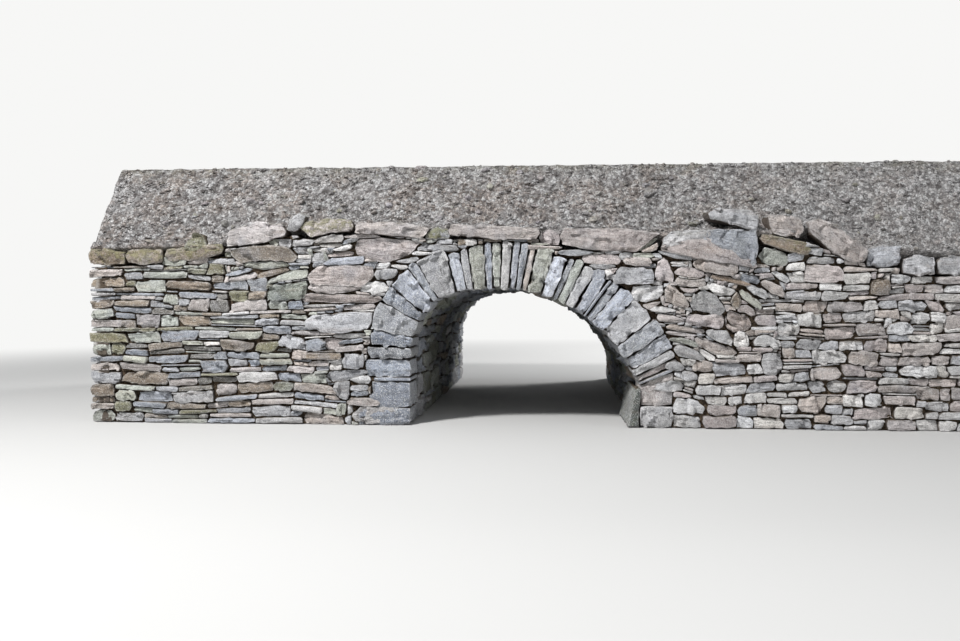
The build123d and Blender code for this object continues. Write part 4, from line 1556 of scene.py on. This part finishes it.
def core_of(node):
    mesh = cad_nodes[node].data.copy()
    for vertex in mesh.vertices:
        x, y, z = vertex.co
        gap, outward = behind_passage(x, z)
        if gap < draw_in and abs(y) < face_y - 0.01:
            x += outward[0] * (draw_in - gap)
            z += outward[1] * (draw_in - gap)
        y = max(-face_y + draw_in, min(face_y - draw_in, y))
        x = max(-end_x + end_draw_in, min(end_x - end_draw_in, x))
        vertex.co = (x, y, max(z, 0.0))
    mesh.materials.clear()
    mesh.materials.append(shaded_joint_finish)
    return show(node + "_core", mesh)


cored = near_nodes + far_nodes + vault_nodes + ["left_hearting", "right_hearting"]
for node in cored:
    pieces.setdefault(node, []).append(core_of(node))
print(len(cored), "cores drawn in")

# %% [markdown]
# ## Heaped earth
# The shoulders are loose soil that has crept over the backs of the caps, and the track on top is trodden
# flat, with two shallow ruts. All three are one height field, cut at the same lines as the CAD nodes, so
# their edges meet. On the slope the soil keeps above the caps' upper edges, which are listed as x and z.

# %% Height of the soil
track_half = 1.75
track_top = 2.386
track_fall = 0.03
track_limit = 2.398
wheel_y = 0.72
rut_half = 0.24
rut_depth = 0.036
edge_z = 2.355
toe_y = 2.38
toe_z = 1.45
NEAR_COVER = [(-3.9, 1.59), (-2.7, 1.62), (-2.6, 1.70), (-2.1, 1.77), (-1.9, 1.80), (-1.45, 1.79),
              (-0.85, 1.75), (-0.65, 1.74), (0.12, 1.73), (0.3, 1.71), (1.05, 1.70), (1.16, 1.68),
              (1.5, 1.70), (1.95, 1.69), (2.3, 1.70), (2.45, 1.77), (2.66, 1.69), (2.88, 1.55),
              (3.4, 1.54), (3.9, 1.47)]
FAR_COVER = [(-3.9, 1.60), (-2.62, 1.66), (-2.0, 1.76), (-0.82, 1.77), (0.2, 1.75), (1.0, 1.73),
             (1.95, 1.68), (2.7, 1.60), (3.3, 1.54), (3.9, 1.49)]


def cover_height(x, y):
    """The height of the caps' upper edges on the side that y lies on."""
    return np.interp(x, *zip(*(NEAR_COVER if y < 0 else FAR_COVER)))


def soil_height(x, y):
    run = abs(y)
    slope = max(0.0, min(1.0, (run - track_half) / (toe_y - track_half)))
    place = Vector((x, y, 0))
    hollows = noise.fractal(place * 1.7 + Vector((0, 0, 4.0)), 0.8, 2.1, 4)
    lumps = noise.fractal(place * 7.0 + Vector((3, 0, 1.0)), 0.6, 2.0, 5)
    if slope <= 0:
        top = track_top - track_fall * min(run / track_half, 1) ** 2
        rut = rut_depth * max(0.0, 1 - (abs(run - wheel_y) / rut_half) ** 2)
        return min(top - rut + hollows * 0.008 + lumps * 0.007 - 0.006, track_limit)
    swing = 0.008 + 0.05 * min(1, slope * 3)
    ragged = 0.007 + 0.03 * min(1, slope * 4)
    z = edge_z - (edge_z - toe_z) * slope**1.15 + hollows * swing + lumps * ragged
    return max(z, cover_height(x, y) + 0.008 + 0.03 * (lumps + 0.4) + 0.02 * hollows)


print("soil at the middle of the track", round(soil_height(0, 0), 3), "m high")

# %% [markdown]
# A row of points runs along the bridge, and the rows follow one another across it. The line to which the
# soil creeps over the caps is uneven, and there the last two rows curl under. One more row at either edge
# lies low down, which closes each piece to a tube, and one face shuts each end. Green gathers between the
# wheels.

# %% Soil pieces
soil_step = 0.028
track_step = 0.046
shoulder_base = 1.45
track_base = 1.5
creep_y = 2.385
creep_limit = 2.445
curl_y = 2.22


def soil_front(x, side):
    slow, quick = noise.noise(Vector((x * 1.6, side, 2.0))), noise.noise(Vector((x * 6.5, side, 5.0)))
    return min(creep_y + (0.07 * slow + 0.05 * quick), creep_limit)


def soil_rows(side):
    xs = np.linspace(-end_x, end_x, int(2 * end_x / soil_step) + 1)
    if side == 0:
        ys = np.linspace(-track_half, track_half, int(2 * track_half / track_step) + 1)
        return [[(x, y, soil_height(x, y)) for x in xs] for y in ys]
    rows = []
    for share in np.linspace(0, 1, 26):
        ys = [side * (track_half + share * (soil_front(x, side) - track_half)) for x in xs]
        drop = 0.03 * max(0.0, share - 0.94) / 0.06
        rows.append([(x, y, soil_height(x, y) - drop) for x, y in zip(xs, ys)])
    rows.append([(x, side * (soil_front(x, side) - 0.03), cover_height(x, side) - 0.05) for x in xs])
    rows.append([(x, side * curl_y, cover_height(x, side) - 0.12) for x in xs])
    return rows if side > 0 else rows[::-1]


def greenness(y):
    band = max(0.0, min(1.0, (1.9 - abs(y)) * 4))
    wheel = math.exp(-((abs(y) - wheel_y) / 0.22) ** 2)
    return band * (1 - 0.75 * wheel)


def soil_piece(name, side, base):
    rows = soil_rows(side)
    first, last = ([(x, y, min(base, z - 0.01)) for x, y, z in row] for row in (rows[0], rows[-1]))
    rows = [first, *rows, last]
    count, wide = len(rows), len(first)
    points = [point for row in rows for point in row]
    faces = []
    for r in range(count):
        this, after = r * wide, (r + 1) % count * wide
        faces += [(this + c, this + c + 1, after + c + 1, after + c) for c in range(wide - 1)]
    smooth = [0 < r < count - 2 for r in range(count) for _ in range(wide - 1)]
    faces.append(tuple(r * wide for r in range(count)))
    faces.append(tuple(r * wide + wide - 1 for r in reversed(range(count))))
    mesh = bpy.data.meshes.new(name)
    mesh.from_pydata(points, [], faces)
    mesh.polygons.foreach_set("use_smooth", smooth + [False, False])
    green = mesh.attributes.new("green", "FLOAT", "POINT")
    green.data.foreach_set("value", [greenness(y) for _, y, _ in points])
    mesh.materials.append(soil_finish)
    return show(name, mesh)


for node, side, base in (("near_shoulder", -1, shoulder_base), ("far_shoulder", 1, shoulder_base),
                         ("road_fill", 0, track_base)):
    pieces[node] = [soil_piece(node + "_soil", side, base)]
print("soil pieces", [len(pieces[n][0].data.polygons) for n in ("near_shoulder", "road_fill")])

# %% [markdown]
# ## Stones and clods in the soil
# Loose soil on a slope is full of clods and small stones that have worked their way out. Placing them by
# hand would look placed. A second tree scatters points on whatever looks up, puts a small ball of a few
# faces on each, turns it at random and squeezes it, and then roughens the real copies with noise.

# %% The tree that scatters crumbs
rising = 0.25  # the least upward share of the direction of a face that carries crumbs


def crumb_tree():
    bench, given = new_tree("scatter_crumbs", (
        ("Soil", "Geometry"), ("Per Square Metre", "Float"), ("Smallest", "Float"), ("Largest", "Float"),
        ("Ball Cuts", "Int"), ("Seed", "Int"), ("Finish", "Material")), "Crumbs")
    seed = given.out("Seed")
    facing_up = bench.more(bench.add("GeometryNodeInputNormal").parts()[2], rising)
    points = bench.add("GeometryNodeDistributePointsOnFaces", {},
                       {"Mesh": given.out("Soil"), "Selection": facing_up,
                        "Density": given.out("Per Square Metre"), "Seed": seed})
    ball = bench.add("GeometryNodeMeshIcoSphere", {}, {"Radius": 1.0, "Subdivisions": given.out("Ball Cuts")})

    def chance(low, high, shift):
        """A random number, or a random vector where low is one. Each use gets a seed of its own."""
        vector = isinstance(low, tuple)
        settings = {"data_type": "FLOAT_VECTOR" if vector else "FLOAT"}
        first = 0 if vector else 2
        inputs = {first: low, first + 1: high, "Seed": seed + shift}
        return bench.add("FunctionNodeRandomValue", settings, inputs, 0 if vector else 1)

    small, large = given.out("Smallest"), given.out("Largest")
    luck = chance(0.0, 1.0, 1)
    size = small + (large - small) * luck * luck * luck
    shape = chance((0.7, 0.7, 0.35), (1.5, 1.1, 0.8), 2)
    turn = chance((-0.4, -0.4, 0.0), (0.4, 0.4, 6.28), 3)
    copies = bench.add("GeometryNodeInstanceOnPoints", {},
                       {"Points": points, "Instance": ball, "Rotation": turn, "Scale": shape * size})
    tone = bench.join(1, 1, 1) * chance(0.19, 0.40, 4) * chance((1.0, 0.9, 0.78), (1.0, 0.98, 0.98), 5)
    copies = bench.store(copies, "tone", tone, "INSTANCE")
    real = bench.add("GeometryNodeRealizeInstances", {}, {"Geometry": copies})
    place = bench.add("GeometryNodeInputPosition")
    rough = bench.vector(bench.speckle(place, 42, 2, 0.5).out("Color")) - (0.5, 0.5, 0.5)
    moved = bench.add("GeometryNodeSetPosition", {}, {"Geometry": real, "Offset": rough * (large * 0.9)})
    moved = bench.store(moved, "bed", place)
    finished = bench.add("GeometryNodeSetMaterial", {}, {"Geometry": moved, "Material": given.out("Finish")})
    bench.add("NodeGroupOutput", {}, [finished])
    return bench.tree


scatter_tree = crumb_tree()
print("crumb tree with", len(scatter_tree.nodes), "nodes")

# %% [markdown]
# Small stones take the finish of the walls and are rounder than clods, which take that of the soil.

# %% Scatter stones and clods
def scatter(node, label, density, sizes, ball_cuts, finish, seed):
    piece = show(node + label, pieces[node][0].data.copy())
    inputs = {"Per Square Metre": density, "Smallest": sizes[0], "Largest": sizes[1],
              "Ball Cuts": ball_cuts, "Seed": seed, "Finish": finish}
    piece.data = grown(piece, scatter_tree, inputs)
    pieces[node].append(piece)


for node, stones_per_m2, largest, clods_per_m2 in (("near_shoulder", 45.0, 0.045, 360.0),
                                                   ("far_shoulder", 25.0, 0.045, 120.0),
                                                   ("road_fill", 6.0, 0.022, 0.0)):
    scatter(node, "_stones", stones_per_m2, (0.006, largest), 2, wall_finish, 3)
    if clods_per_m2:
        scatter(node, "_clods", clods_per_m2, (0.008, 0.03), 1, soil_finish, 8)
print("crumbs:", {node: [len(p.data.polygons) for p in pieces[node][1:]] for node in pieces
                  if "shoulder" in node or "road" in node})

# %% [markdown]
# ## Join, ride and hand over
# The parts of one node become one mesh. It rides on the fixed body and stands for the node, which stays in
# the simulation unseen.

# %% Hand the pieces over
SLOT_WORDS = {"vault_stone": ("barrel", "abutment"), "ring_stone": ("ring", "jamb", "footing"),
              "cap_stone": ("cap", "crown_slab", "crown_block"), "hearting": ("hearting",),
              "earth": ("shoulder", "road")}


def slot_of(node):
    """The record's slot for a node, by the words in its name. What is left is rubble."""
    for slot, words in SLOT_WORDS.items():
        if any(word in node for word in words):
            return slot
    return "rubble_wall"


for node, parts in sorted(pieces.items()):
    whole = parts[0]
    if len(parts) > 1:
        with bpy.context.temp_override(active_object=whole, object=whole, selected_objects=parts,
                                       selected_editable_objects=parts):
            bpy.ops.object.join()
    whole.name = node + "_laid"
    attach(whole, "root")
    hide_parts(node)
    slot_of(node)
left_over = sorted(set(cad_nodes) - set(pieces))
triangles = sum(sum(len(p.vertices) - 2 for p in parts[0].data.polygons) for parts in pieces.values())
print("nodes still plain:", left_over, "triangles in all:", triangles)

# %% [markdown]
# ## Size
# Stones and soil may not outgrow the CAD model.
